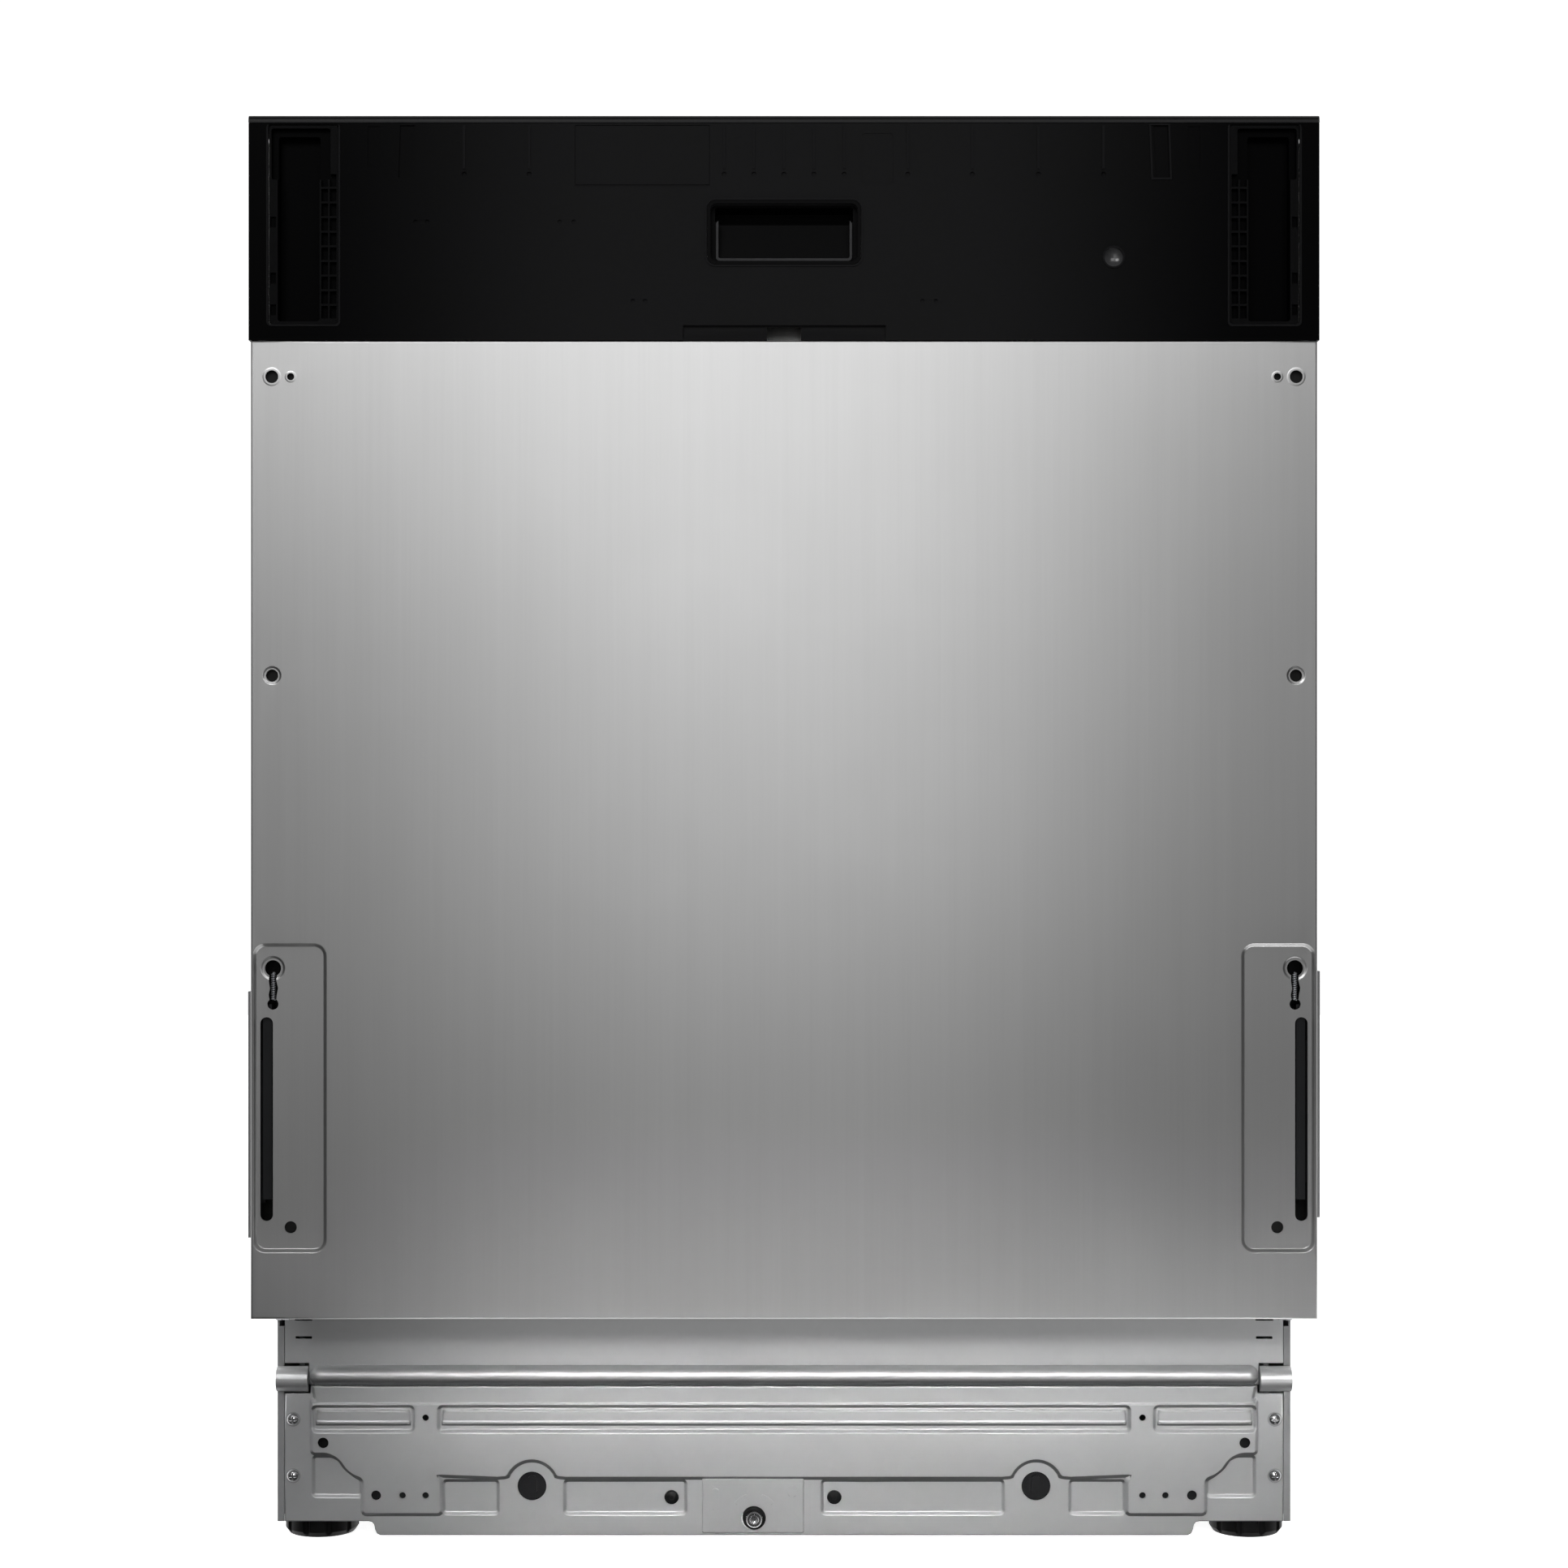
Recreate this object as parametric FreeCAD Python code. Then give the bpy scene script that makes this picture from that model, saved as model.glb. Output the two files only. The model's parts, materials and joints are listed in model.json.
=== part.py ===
"""Fully integrated built-in dishwasher, 60 cm class, built up from separate pieces.

Row frame: millimetres, +Z up, the floor is z = 0, X = 0 is the middle of the
machine, the front faces -Y.  The origin is the middle of the floor footprint.
"""
import FreeCAD
import Part
import math
import os
from FreeCAD import Vector as V

os.makedirs("parts", exist_ok=True)

# ---------------------------------------------------------------- driving sizes
W_HALF = 298.0          # half the carcass and console width (596 mm machine)
Y_FRONT = -275.0        # front face of the console
Y_REAR = 275.0          # rearmost point: hose connectors
H_TOP = 818.0           # top of the display bezel
Z_FASCIA = 817.3        # top of the control strip
Z_CONSOLE = 692.0       # lower edge of the black console
Z_DOOR = 147.0          # lower edge of the outer door sheet
Y_SHEET = -274.2        # outer face of the outer door sheet
Y_LINER = -228.0        # wet side of the inner door liner
Y_TUB = -222.0          # front plane of the tub flange
TUB_X = 283.0           # half width outside the tub
TUB_T = 1.5             # tub sheet
TUB_TOP = 796.0
TUB_BACK = 238.0
Z_LEDGE = 175.5         # wheel ledges of the tub floor
Z_BASIN = 150.0         # floor of the tub basin
PIV_Y, PIV_Z = -250.0, 152.0      # door hinge axis
PIN_R = 4.0
BASE_Y = -176.0         # general level of the base front sheet
BASE_BOT = 3.1
FOOT_X, FOOT_Y, FOOT_R = 275.5, -148.0, 21.6
REAR_FOOT_X, REAR_FOOT_Y = -36.0, 222.0
ADJ_X, ADJ_Z = -17.5, 13.6        # rear foot adjuster shaft
WHEEL_R = 17.0
RACK_Z = 222.5          # lower rack floor frame
URACK_Z = 470.0         # upper rack floor frame
RACK_FRONT = -204.0
WIRE = 1.8
RAIL_Z = 546.0          # upper rack rail centre height


# ---------------------------------------------------------------- helpers
def box(x0, x1, y0, y1, z0, z1):
    x0, x1 = sorted((x0, x1)); y0, y1 = sorted((y0, y1)); z0, z1 = sorted((z0, z1))
    return Part.makeBox(x1 - x0, y1 - y0, z1 - z0, V(x0, y0, z0))


def cylx(r, x0, x1, y, z):
    return Part.makeCylinder(r, abs(x1 - x0), V(min(x0, x1), y, z), V(1, 0, 0))


def cyly(r, x, y0, y1, z):
    return Part.makeCylinder(r, abs(y1 - y0), V(x, min(y0, y1), z), V(0, 1, 0))


def cylz(r, x, y, z0, z1):
    return Part.makeCylinder(r, abs(z1 - z0), V(x, y, min(z0, z1)), V(0, 0, 1))


def fuse(*a):
    a = [s for s in a if s is not None]
    s = a[0]
    if len(a) > 1:
        s = s.multiFuse(a[1:])
    return s.removeSplitter()


def wire_xz(path, y):
    """path: list of ('L', x, z) or ('A', xm, zm, x, z); the first entry is the start."""
    edges = []
    cur = V(path[0][1], y, path[0][2])
    for p in path[1:] + [("L", path[0][1], path[0][2])]:
        if p[0] == "L":
            q = V(p[1], y, p[2])
            if (q - cur).Length > 1e-6:
                edges.append(Part.LineSegment(cur, q).toShape())
        else:
            q = V(p[3], y, p[4])
            edges.append(Part.Arc(cur, V(p[1], y, p[2]), q).toShape())
        cur = q
    return Part.Wire(edges)


def prism_xz(path, y0, y1):
    y0, y1 = sorted((y0, y1))
    return Part.Face(wire_xz(path, y0)).extrude(V(0, y1 - y0, 0))


def poly_yz(pts, x0, x1):
    x0, x1 = sorted((x0, x1))
    w = Part.makePolygon([V(x0, a, b) for a, b in pts] + [V(x0, pts[0][0], pts[0][1])])
    return Part.Face(w).extrude(V(x1 - x0, 0, 0))


def rpath(x0, x1, z0, z1, r, corners="abcd"):
    """Rounded rectangle path; corners a=low x low z, b=high x low z, c=high x high z, d=low x high z."""
    x0, x1 = sorted((x0, x1)); z0, z1 = sorted((z0, z1))
    k = r * (1 - math.sqrt(0.5))
    p = []
    if "a" in corners:
        p += [("L", x0, z0 + r), ("A", x0 + k, z0 + k, x0 + r, z0)]
    else:
        p += [("L", x0, z0)]
    if "b" in corners:
        p += [("L", x1 - r, z0), ("A", x1 - k, z0 + k, x1, z0 + r)]
    else:
        p += [("L", x1, z0)]
    if "c" in corners:
        p += [("L", x1, z1 - r), ("A", x1 - k, z1 - k, x1 - r, z1)]
    else:
        p += [("L", x1, z1)]
    if "d" in corners:
        p += [("L", x0 + r, z1), ("A", x0 + k, z1 - k, x0, z1 - r)]
    else:
        p += [("L", x0, z1)]
    return p


def rbox(x0, x1, y0, y1, z0, z1, r, corners="abcd"):
    return prism_xz(rpath(x0, x1, z0, z1, r, corners), y0, y1)


def rboxz(x0, x1, y0, y1, z0, z1, r):
    """Box with its vertical edges rounded."""
    s = box(x0, x1, y0, y1, z0, z1)
    e = [k for k in s.Edges if abs(k.tangentAt(k.FirstParameter).z) > 0.99]
    return s.makeFillet(r, e)


def front_edges(s, y, tol=1e-3):
    return [e for e in s.Edges if all(abs(v.Point.y - y) < tol for v in e.Vertexes)
            and abs(e.BoundBox.YMax - y) < tol and abs(e.BoundBox.YMin - y) < tol]


def chamfer_front(s, y, c):
    for k in (1.0, 0.8, 0.6, 0.4):
        try:
            t = s.makeChamfer(c * k, front_edges(s, y))
            if t.isValid() and t.Volume > 0:
                return t
        except Exception:
            pass
    print("edge left square at", y)
    return s


def seg(a, b, r):
    a, b = V(*a), V(*b)
    return Part.makeCylinder(r, (b - a).Length, a, b - a)


def save(name, *solids):
    flat = []
    for s in solids:
        flat += s.Solids
    for s in flat:
        if not s.isValid():
            print("INVALID", name)
        if s.Volume <= 0:
            print("NEGATIVE", name)
    out = flat[0] if len(flat) == 1 else Part.makeCompound(flat)
    out.exportStep("parts/%s.step" % name)
    SAVED[name] = out


SAVED = {}


def mirror_x(s):
    return s.mirror(V(0, 0, 0), V(1, 0, 0))


# ---------------------------------------------------------------- tub
def u_path(x, zb, zt, r):
    k = r * (1 - math.sqrt(0.5))
    return [("L", -x, zb), ("L", x, zb), ("L", x, zt - r), ("A", x - k, zt - k, x - r, zt),
            ("L", -x + r, zt), ("A", -x + k, zt - k, -x, zt - r)]


outer = prism_xz(u_path(TUB_X, Z_LEDGE, TUB_TOP, 28), Y_TUB, TUB_BACK)
inner = prism_xz(u_path(TUB_X - TUB_T, Z_LEDGE - 5, TUB_TOP - TUB_T, 26.5), Y_TUB - 5, TUB_BACK - TUB_T)
tub = outer.cut(inner)
flange = box(-296.5, 296.5, Y_TUB, Y_TUB + 1.5, Z_LEDGE, 811).cut(
    prism_xz(u_path(TUB_X - TUB_T, Z_LEDGE - 5, TUB_TOP - TUB_T, 26.5), Y_TUB - 1, Y_TUB + 3))
tub = fuse(tub, flange)
# pressed stiffening beads on the back wall
for z in (300, 400, 640):
    tub = tub.fuse(rbox(-200, 200, TUB_BACK, TUB_BACK + 3, z - 6, z + 6, 5.9)).removeSplitter()
save("tub_wrapper", tub)

bot = box(-TUB_X, TUB_X, Y_TUB, TUB_BACK, Z_LEDGE - TUB_T, Z_LEDGE)
basin_o = rboxz(-218, 218, -190, 212, Z_BASIN - TUB_T, Z_LEDGE, 30)
basin_i = rboxz(-218 + TUB_T, 218 - TUB_T, -190 + TUB_T, 212 - TUB_T, Z_BASIN, Z_LEDGE + 5, 30 - TUB_T)
bot = fuse(bot, basin_o).cut(basin_i)
bot = fuse(bot, box(-296.5, 296.5, Y_TUB, Y_TUB + 1.5, 158, Z_LEDGE))
for x, y, r in ((75, 60, 52), (0, 0, 18), (-150, -110, 40), (0, 200, 6)):
    bot = bot.cut(cylz(r, x, y, 140, 160))
save("tub_bottom", bot)

# door gasket: one length of rubber inside the mouth of the tub
g_o = prism_xz(u_path(281.3, Z_LEDGE + 0.2, TUB_TOP - 1.7, 26), -227.6, -214)
g_i = prism_xz(u_path(273.0, Z_LEDGE - 5, TUB_TOP - 10, 18), -230, -210)
gasket = chamfer_front(g_o.cut(g_i), -227.6, 2.5)
save("door_gasket", gasket)

# ---------------------------------------------------------------- carcass
for s, name in ((-1, "side_panel_left"), (1, "side_panel_right")):
    pts = [(-175, 11.2), (-175, 128), (-186, 150), (-221.9, 166), (-221.9, 812), (265, 812), (265, 11.2)]
    p = poly_yz(pts, s * 296.8, s * 298)
    p = p.fuse(box(s * 294, s * 298, -175, -173.6, 11.2, 126))           # folded front lip
    p = p.fuse(box(s * 285, s * 298, 263.8, 265, 11.2, 811.0))             # folded rear lip
    # two vertical stiffening beads
    for y in (-60, 100):
        p = p.cut(box(s * 297.4, s * 299, y - 7, y + 7, 180, 700))
    p = p.removeSplitter()
    # rounded corner gusset in line with the cross member bead
    gus = cylx(7.5, s * 279.4, s * 297.8, -176.5, 95.5).common(box(s * 279.4, s * 297.8, -186, -177.2, 80, 110))
    web = box(s * 294, s * 297.8, -177.2, -173.6, 88, 103)
    p = fuse(p, web, gus)
    save(name, p)

top = box(-296.5, 296.5, -220.4, 265, 811.2, 812.6)
top = top.fuse(box(-294, 294, 262.2, 263.6, 795, 811.2))
for x in (-150, 0, 150):
    top = top.cut(rbox(x - 40, x + 40, -300, 300, 812.0, 813, 0.1).common(box(-300, 300, -170, 210, 800, 820)))
save("top_cover", top.removeSplitter())

rear = box(-284.8, 284.8, 263.8, 265, 20, 794.8)
for z0, z1 in ((330, 520), (560, 750)):
    rear = rear.cut(rbox(-240, 240, 264.5, 266, z0, z1, 15))
rear = rear.cut(cyly(18.3, -215, 260, 270, 95)).cut(cyly(15.3, -165, 260, 270, 95)).cut(
    rbox(188, 222, 260, 270, 80, 110, 4))
for z in (40, 60):
    for x in (-60, -30, 0, 30, 60):
        rear = rear.cut(rbox(x - 10, x + 10, 260, 270, z - 2.5, z + 2.5, 2.4))
save("rear_panel", rear.removeSplitter())

# rear connectors: threaded water inlet, drain spigot, mains inlet socket
inlet = fuse(cyly(13.2, -215, 252, Y_REAR, 95), cyly(18, -215, 258, 265.4, 95)).cut(cyly(8, -215, 250, 280, 95))
drain = fuse(cyly(11, -165, 252, Y_REAR, 95), cyly(15, -165, 258, 265.4, 95)).cut(cyly(8.5, -165, 250, 280, 95))
mains = rbox(190, 220, 245, 271, 82, 108, 3).cut(rbox(193, 217, 256, 280, 85, 105, 2))
pins = [cyly(1.6, x, 254, 268, z) for x, z in ((199, 92), (211, 92), (205, 100))]
save("hose_ports", inlet, drain, fuse(mains, *pins))

# ---------------------------------------------------------------- base
tray = box(-291, 291, -168, 262, 18, 62).cut(box(-288, 288, -165, 259, 21, 70))
for x in (-FOOT_X, FOOT_X):
    tray = tray.fuse(cylz(13, x, FOOT_Y, 11.6, 62))
# gearbox housing of the rear foot, moulded into the tray
tray = tray.fuse(box(-58, 4, 200, 246, 9.4, 48))
for x in (-1, 1):
    tray = tray.fuse(cyly(8.1, x * 148.2, -171.5, -160, 32.1))
    tray = tray.fuse(rbox(x * 148.2 - 2.6, x * 148.2 + 2.6, -173.8, -165, 26.5, 37.7, 2.5))
tray = tray.removeSplitter()
for x in (-FOOT_X, FOOT_X):
    tray = tray.cut(cylz(6.08, x, FOOT_Y, 0, 100))
tray = tray.cut(cylz(6.08, REAR_FOOT_X, REAR_FOOT_Y, 0, 100))
tray = tray.cut(cyly(3.07, ADJ_X, 190, 205, ADJ_Z)).cut(cyly(7.2, ADJ_X, 205, 240, ADJ_Z))
tray = tray.cut(box(ADJ_X - 7.2, ADJ_X + 7.2, 205, 240, 0, ADJ_Z))
save("base_tray", tray)

cm = box(-293.5, 293.5, -176, -174.6, 91.9, 147.8)
bead = Part.makeCylinder(6.0, 546, V(-273, -176.2, 97.3), V(1, 0, 0))
bead = fuse(bead, Part.makeSphere(6.0, V(-273, -176.2, 97.3)), Part.makeSphere(6.0, V(273, -176.2, 97.3)))
cm = cm.fuse(bead.common(box(-300, 300, -190, -175.2, 92.0, 110)))
cm = cm.fuse(box(-276, 276, -176, -150, 146.4, 147.8))
for s in (-1, 1):
    cm = cm.cut(box(s * 277.6, s * 287.2, -180, -170, 118.7, 120.2))
    cm = cm.cut(box(s * 277.4, s * 287.6, -180, -170, 129.4, 153))
    cm = cm.cut(box(s * 279.2, s * 300, -185, -170, 86, 104.5))
cm = cm.removeSplitter()
save("front_cross_member", cm)

# embossed front sheet of the base
outline = [("L", -293.6, 11.3), ("L", -244.5, 11.3), ("A", -241.6, 10.0, -240.8, 7.4), ("L", -240.3, 6.0),
           ("A", -239.2, 3.9, -237, BASE_BOT), ("L", 237, BASE_BOT), ("A", 239.2, 3.9, 240.3, 6.0),
           ("L", 240.8, 7.4), ("A", 241.6, 10.0, 244.5, 11.3), ("L", 293.6, 11.3), ("L", 293.6, 86.6), ("L", -293.6, 86.6)]
sheet = prism_xz(outline, BASE_Y, BASE_Y + 2.4)


right = [("L", 278, 91.4), ("L", 278, 51.0), ("L", 266.5, 51.0), ("A", 262.6, 48.6, 260.5, 43.8),
         ("A", 256.6, 39.4, 251.5, 37.0), ("L", 247.8, 36.0), ("L", 247.8, 15.6), ("L", 201.2, 15.6), ("L", 201.2, 37.2),
         ("L", 165.5, 37.2), ("A", 162.5, 38.4, 160.4, 41.2), ("A", 148.2, 47.4, 136.0, 41.2), ("A", 133.9, 38.4, 130.9, 37.2)]


def mir(path):
    """Mirrors a path segment list in X, keeping it as a continuation in reverse order."""
    nodes = [(path[0][1], path[0][2])]
    kinds = []
    for p in path[1:]:
        if p[0] == "L":
            nodes.append((p[1], p[2])); kinds.append(None)
        else:
            nodes.append((p[3], p[4])); kinds.append((p[1], p[2]))
    nodes = nodes[::-1]; kinds = kinds[::-1]
    out = [("L", -nodes[0][0], nodes[0][1])]
    for n, k in zip(nodes[1:], kinds):
        out.append(("L", -n[0], n[1]) if k is None else ("A", -k[0], k[1], -n[0], n[1]))
    return out


plateau_path = right + mir(right)
plateau = prism_xz(plateau_path, -178.6, -175.0)
plateau = chamfer_front(plateau, -178.6, 1.3)
sheet = fuse(sheet, plateau)


def pocket(x0, x1, z0, z1, yf, depth, r, corners="abcd"):
    """Cutter for a pressed pocket with sloping walls; yf is the level it is pressed into."""
    c = 1.0
    t = rbox(x0, x1, yf - 5, yf + depth, z0, z1, r, corners)
    e = [k for k in t.Edges if abs(k.BoundBox.YMin - (yf + depth)) < 1e-3 and abs(k.BoundBox.YMax - (yf + depth)) < 1e-3]
    try:
        u = t.makeChamfer(min(c, depth * 0.8), e)
        if u.isValid():
            return u
    except Exception:
        pass
    return t


for x0, x1 in ((-277.2, -217.6), (-203.2, 203.2), (217.6, 277.2)):
    sheet = sheet.cut(pocket(x0, x1, 64.4, 79.8, -178.6, 1.7, 3))
    sheet = sheet.cut(pocket(x0 + 2, x1 - 2, 66.4, 69.0, -176.9, 0.7, 1.2))
for x0, x1, z0, z1 in ((-200.4, -168, 16, 36.4), (-129.4, -58.5, 16, 36.4), (22, 129.4, 16, 36.4),
                       (168, 200.4, 16, 36.4), (-277.4, -248.8, 25.4, 49.6), (248.8, 277.4, 25.4, 49.6)):
    tool = pocket(x0, x1, z0, z1, BASE_Y, 1.2, 4.5)
    if abs(x0) > 240 and abs(x1) > 240:
        s = 1 if x0 > 0 else -1
        tool = tool.cut(box(s * 240, s * 258.5, -190, -170, 40.2, 60))
    else:
        tool = tool.cut(prism_xz(plateau_path, -190, -170))
    sheet = sheet.cut(tool.cut(prism_xz(plateau_path, -190, -170)))
for x, z, r in ((-270.7, 58, 3.2), (270.7, 58, 3.2), (-210.5, 72.8, 1.9), (210.5, 72.8, 1.9),
                (-239.6, 27.2, 2.9), (239.6, 27.2, 2.9), (-224, 27.2, 1.9), (224, 27.2, 1.9),
                (-210.5, 27.2, 1.9), (210.5, 27.2, 1.9), (-148.2, 32.1, 8.5), (148.2, 32.1, 8.5),
                (-66.2, 25, 4.3), (29.6, 25, 4.3)):
    sheet = sheet.cut(cyly(r, x, -190, -165, z))
sheet = sheet.cut(rbox(-44, 8, -190, -165, 6.5, 34, 2))
for s in (-1, 1):
    for z in (38.2, 71.4):
        sheet = sheet.cut(cyly(2.1, s * 288.6, -190, -165, z))
save("base_front_panel", sheet.removeSplitter())

adj = rbox(-48.2, 11.7, BASE_Y - 1.5, BASE_Y - 0.05, 4.9, 36.6, 1.0)
adj = chamfer_front(adj, BASE_Y - 1.5, 0.5)
adj = adj.cut(cyly(7.1, ADJ_X - 0.3, -190, -170, ADJ_Z))
for a0, a1 in ((38, 72), (108, 142)):
    ring = cyly(14.8, ADJ_X, BASE_Y - 2.0, BASE_Y - 1.2, ADJ_Z).cut(cyly(12.9, ADJ_X, -190, -170, ADJ_Z))
    wedge = prism_xz([("L", ADJ_X, ADJ_Z),
                      ("L", ADJ_X + 30 * math.cos(math.radians(a0)), ADJ_Z + 30 * math.sin(math.radians(a0))),
                      ("L", ADJ_X + 30 * math.cos(math.radians(a1)), ADJ_Z + 30 * math.sin(math.radians(a1)))], -190, -170)
    adj = adj.fuse(ring.common(wedge))
adj = adj.fuse(rbox(-42.2, -38.2, BASE_Y - 2.0, BASE_Y - 1.2, 18.5, 31, 1.5))
adj = adj.fuse(fuse(box(4.0, 6.0, BASE_Y - 2.0, BASE_Y - 1.2, 19, 29), cyly(3.0, 5.0, BASE_Y - 2.0, BASE_Y - 1.2, 29.0)))
save("adjuster_plate", adj.removeSplitter())

screws = []
for s in (-1, 1):
    for z in (38.2, 71.4):
        h = Part.makeSphere(4.6, V(s * 288.6, -174.4, z)).common(box(-300, 300, -190, BASE_Y - 0.05, 0, 200))
        sh = cyly(1.9, s * 288.6, BASE_Y - 0.05, -168.5, z)
        screws.append(fuse(h, sh).cut(box(s * 288.6 - 2.2, s * 288.6 + 2.2, -190, -178.1, z - 0.5, z + 0.5)).cut(
            box(s * 288.6 - 0.5, s * 288.6 + 0.5, -190, -178.1, z - 2.2, z + 2.2)))
save("base_screws", *screws)

# front feet: pad with scalloped rim and threaded spindle
for s, name in ((-1, "front_foot_left"), (1, "front_foot_right")):
    pad = Part.makeCone(FOOT_R - 2.2, FOOT_R, 3.0, V(s * FOOT_X, FOOT_Y, 0), V(0, 0, 1))
    pad = pad.fuse(cylz(FOOT_R, s * FOOT_X, FOOT_Y, 3.0, 11.0))
    for k in range(10):
        a = 2 * math.pi * k / 10
        pad = pad.cut(cylz(2.4, s * FOOT_X + (FOOT_R + 0.9) * math.cos(a), FOOT_Y + (FOOT_R + 0.9) * math.sin(a), -1, 12))
    pad = pad.fuse(cylz(6.0, s * FOOT_X, FOOT_Y, 11.0, 88))
    save(name, pad.removeSplitter())
rf = Part.makeCone(14, 19, 5, V(REAR_FOOT_X, REAR_FOOT_Y, 0), V(0, 0, 1))
rf = rf.fuse(cylz(19, REAR_FOOT_X, REAR_FOOT_Y, 5, 8.8)).fuse(cylz(6.0, REAR_FOOT_X, REAR_FOOT_Y, 8.8, 86))
rf = rf.cut(cyly(7.6, ADJ_X, 190, 260, ADJ_Z))
save("rear_foot", rf.removeSplitter())
scr = fuse(cyly(4.6, ADJ_X, -182.5, -172, ADJ_Z), cyly(3.0, ADJ_X, -172, 234, ADJ_Z), cyly(6.6, ADJ_X, 206, 232, ADJ_Z))
hexcut = Part.makeCylinder(2.2, 4, V(ADJ_X, -183, ADJ_Z), V(0, 1, 0))
scr = scr.cut(hexcut)
scr = chamfer_front(scr, -182.5, 0.6)
save("adjuster_shaft", scr)

# ---------------------------------------------------------------- hinges
br, ar = [], []
for s in (-1, 1):
    horn = poly_yz([(-250, 144), (-173, 131.8), (-168.5, 118), (-168.5, 62.3), (-122, 62.3), (-122, 156), (-246, 156), (-250, 156)],
                   s * 283, s * 286)
    horn = horn.fuse(cylx(9.5, s * 283, s * 286, PIV_Y, PIV_Z))
    horn = horn.fuse(box(s * 283, s * 290.5, -168.4, -122, 62.3, 64.3))     # foot of the bracket on the tray
    horn = horn.fuse(cylx(PIN_R, s * 277.2, s * 287.6, PIV_Y, PIV_Z)).fuse(cylx(5.5, s * 277.2, s * 278.4, PIV_Y, PIV_Z))
    horn = horn.removeSplitter()
    br.append(horn)
    arm = box(s * 279, s * 282.4, -262, -244.5, 160, 330).fuse(cylx(9.4, s * 279, s * 282.4, PIV_Y, PIV_Z))
    arm = arm.fuse(poly_yz([(-259.4, 152), (-262, 164), (-244.5, 164), (-240.6, 152)], s * 279, s * 282.4))
    arm = arm.fuse(poly_yz([(-250, 143), (-234, 141.8), (-232, 149), (-246, 157)], s * 279, s * 282.4))
    arm = arm.fuse(cylx(4.2, s * 279, s * 282.4, -234, 146)).removeSplitter()
    arm = arm.cut(cylx(PIN_R + 0.06, s * 270, s * 290, PIV_Y, PIV_Z)).cut(cylx(1.6, s * 270, s * 290, -234, 146))
    for z in (200, 300):
        arm = arm.cut(cylx(3, s * 270, s * 290, -253, z))
    ar.append(arm)
save("hinge_brackets", *br)
save("hinge_arms", *ar)

springs = []
for s in (-1, 1):
    helix = Part.makeHelix(4.2, 168, 8.0)
    prof = Part.Wire(Part.makeCircle(1.3, V(8.0, 0, 0), V(0, 1, 0)))
    coil = Part.Wire(helix).makePipeShell([prof], True, True)
    coil.rotate(V(0, 0, 0), V(1, 0, 0), -90)
    coil.translate(V(s * 277, -92, 116))
    springs.append(coil)
    springs.append(seg((s * 280.6, -226.5, 143), (s * 277, -104, 116), 1.1))
    springs.append(fuse(cyly(1.3, s * 277, 79, 118, 116), cyly(9.3, s * 277, 79, 81, 116)))
save("balance_springs", *springs)

# ---------------------------------------------------------------- wet parts under the tub
bowl = cylz(58, 75, 60, 92, 148.4).cut(cylz(55, 75, 60, 95, 150))
bowl = fuse(bowl, cylz(66, 75, 60, 145.6, 148.4).cut(cylz(55, 75, 60, 140, 150)))
riser = cylz(15, 0, 0, 104, 186).cut(cylz(12, 0, 0, 107, 190))
riser = fuse(riser, cylz(16.8, 0, 0, 150.4, 156).cut(cylz(12, 0, 0, 140, 190)), cylz(5, 0, 0, 104, 207.5),
             box(-14, 14, -1.5, 1.5, 104, 186))
save("sump", bowl, riser)
fc = cylz(40, 75, 60, 100, 152).cut(cylz(38.2, 75, 60, 102, 160))
fc = fuse(fc, cylz(46, 75, 60, 152.8, 156).cut(cylz(30, 75, 60, 150, 160)), cylz(40, 75, 60, 150, 154).cut(cylz(30, 75, 60, 140, 160)))
fc = fuse(fc, box(49, 101, 57, 63, 153, 166))
for k in range(8):
    a = math.radians(45 * k + 22)
    w = box(-4, 4, 30, 44, 108, 146)
    w.rotate(V(0, 0, 0), V(0, 0, 1), math.degrees(a))
    w.translate(V(75, 60, 0))
    fc = fc.cut(w)
save("filter_cylinder", fc.removeSplitter())
ff = rboxz(-200, 200, -172, 198, Z_BASIN + 0.2, Z_BASIN + 1.4, 25)
for x, y, r in ((75, 60, 47.5), (0, 0, 18.5), (-150, -110, 48), (0, 200, 14)):
    ff = ff.cut(cylz(r, x, y, 140, 160))
save("flat_filter", ff)
motor = fuse(cylx(36, -58, 58, -90, 100), cylx(44, 58, 88, -90, 100), cylx(12, -66, -58, -90, 100),
             box(-40, 40, -104, -76, 62.3, 70))
motor = motor.fuse(cylx(16, 88, 104, -90, 100)).removeSplitter()
save("circulation_pump", motor)
save("drain_pump", fuse(cyly(24, 75, 119, 140, 114), cyly(19, 75, 140, 182, 114)))
salt = box(-208, -98, -168, -52, 66, 136).fuse(cylz(39, -150, -110, 136, 151.0)).removeSplitter()
salt = salt.cut(box(-205, -101, -165, -55, 69, 133)).cut(cylz(34, -150, -110, 130, 160))
save("salt_container", salt)
cap = cylz(44, -150, -110, 151.7, 160).cut(cylz(41, -150, -110, 150, 157))
cap = fuse(cap, cylz(33.92, -150, -110, 146, 160), box(-188, -112, -114, -106, 160, 168))
cap = fuse(cap.common(cylz(44, -150, -110, 100, 200)))
for k in range(18):
    a = 2 * math.pi * k / 18
    cap = cap.cut(cylz(2.2, -150 + 44.8 * math.cos(a), -110 + 44.8 * math.sin(a), 140, 180))
save("salt_cap", cap)

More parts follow.
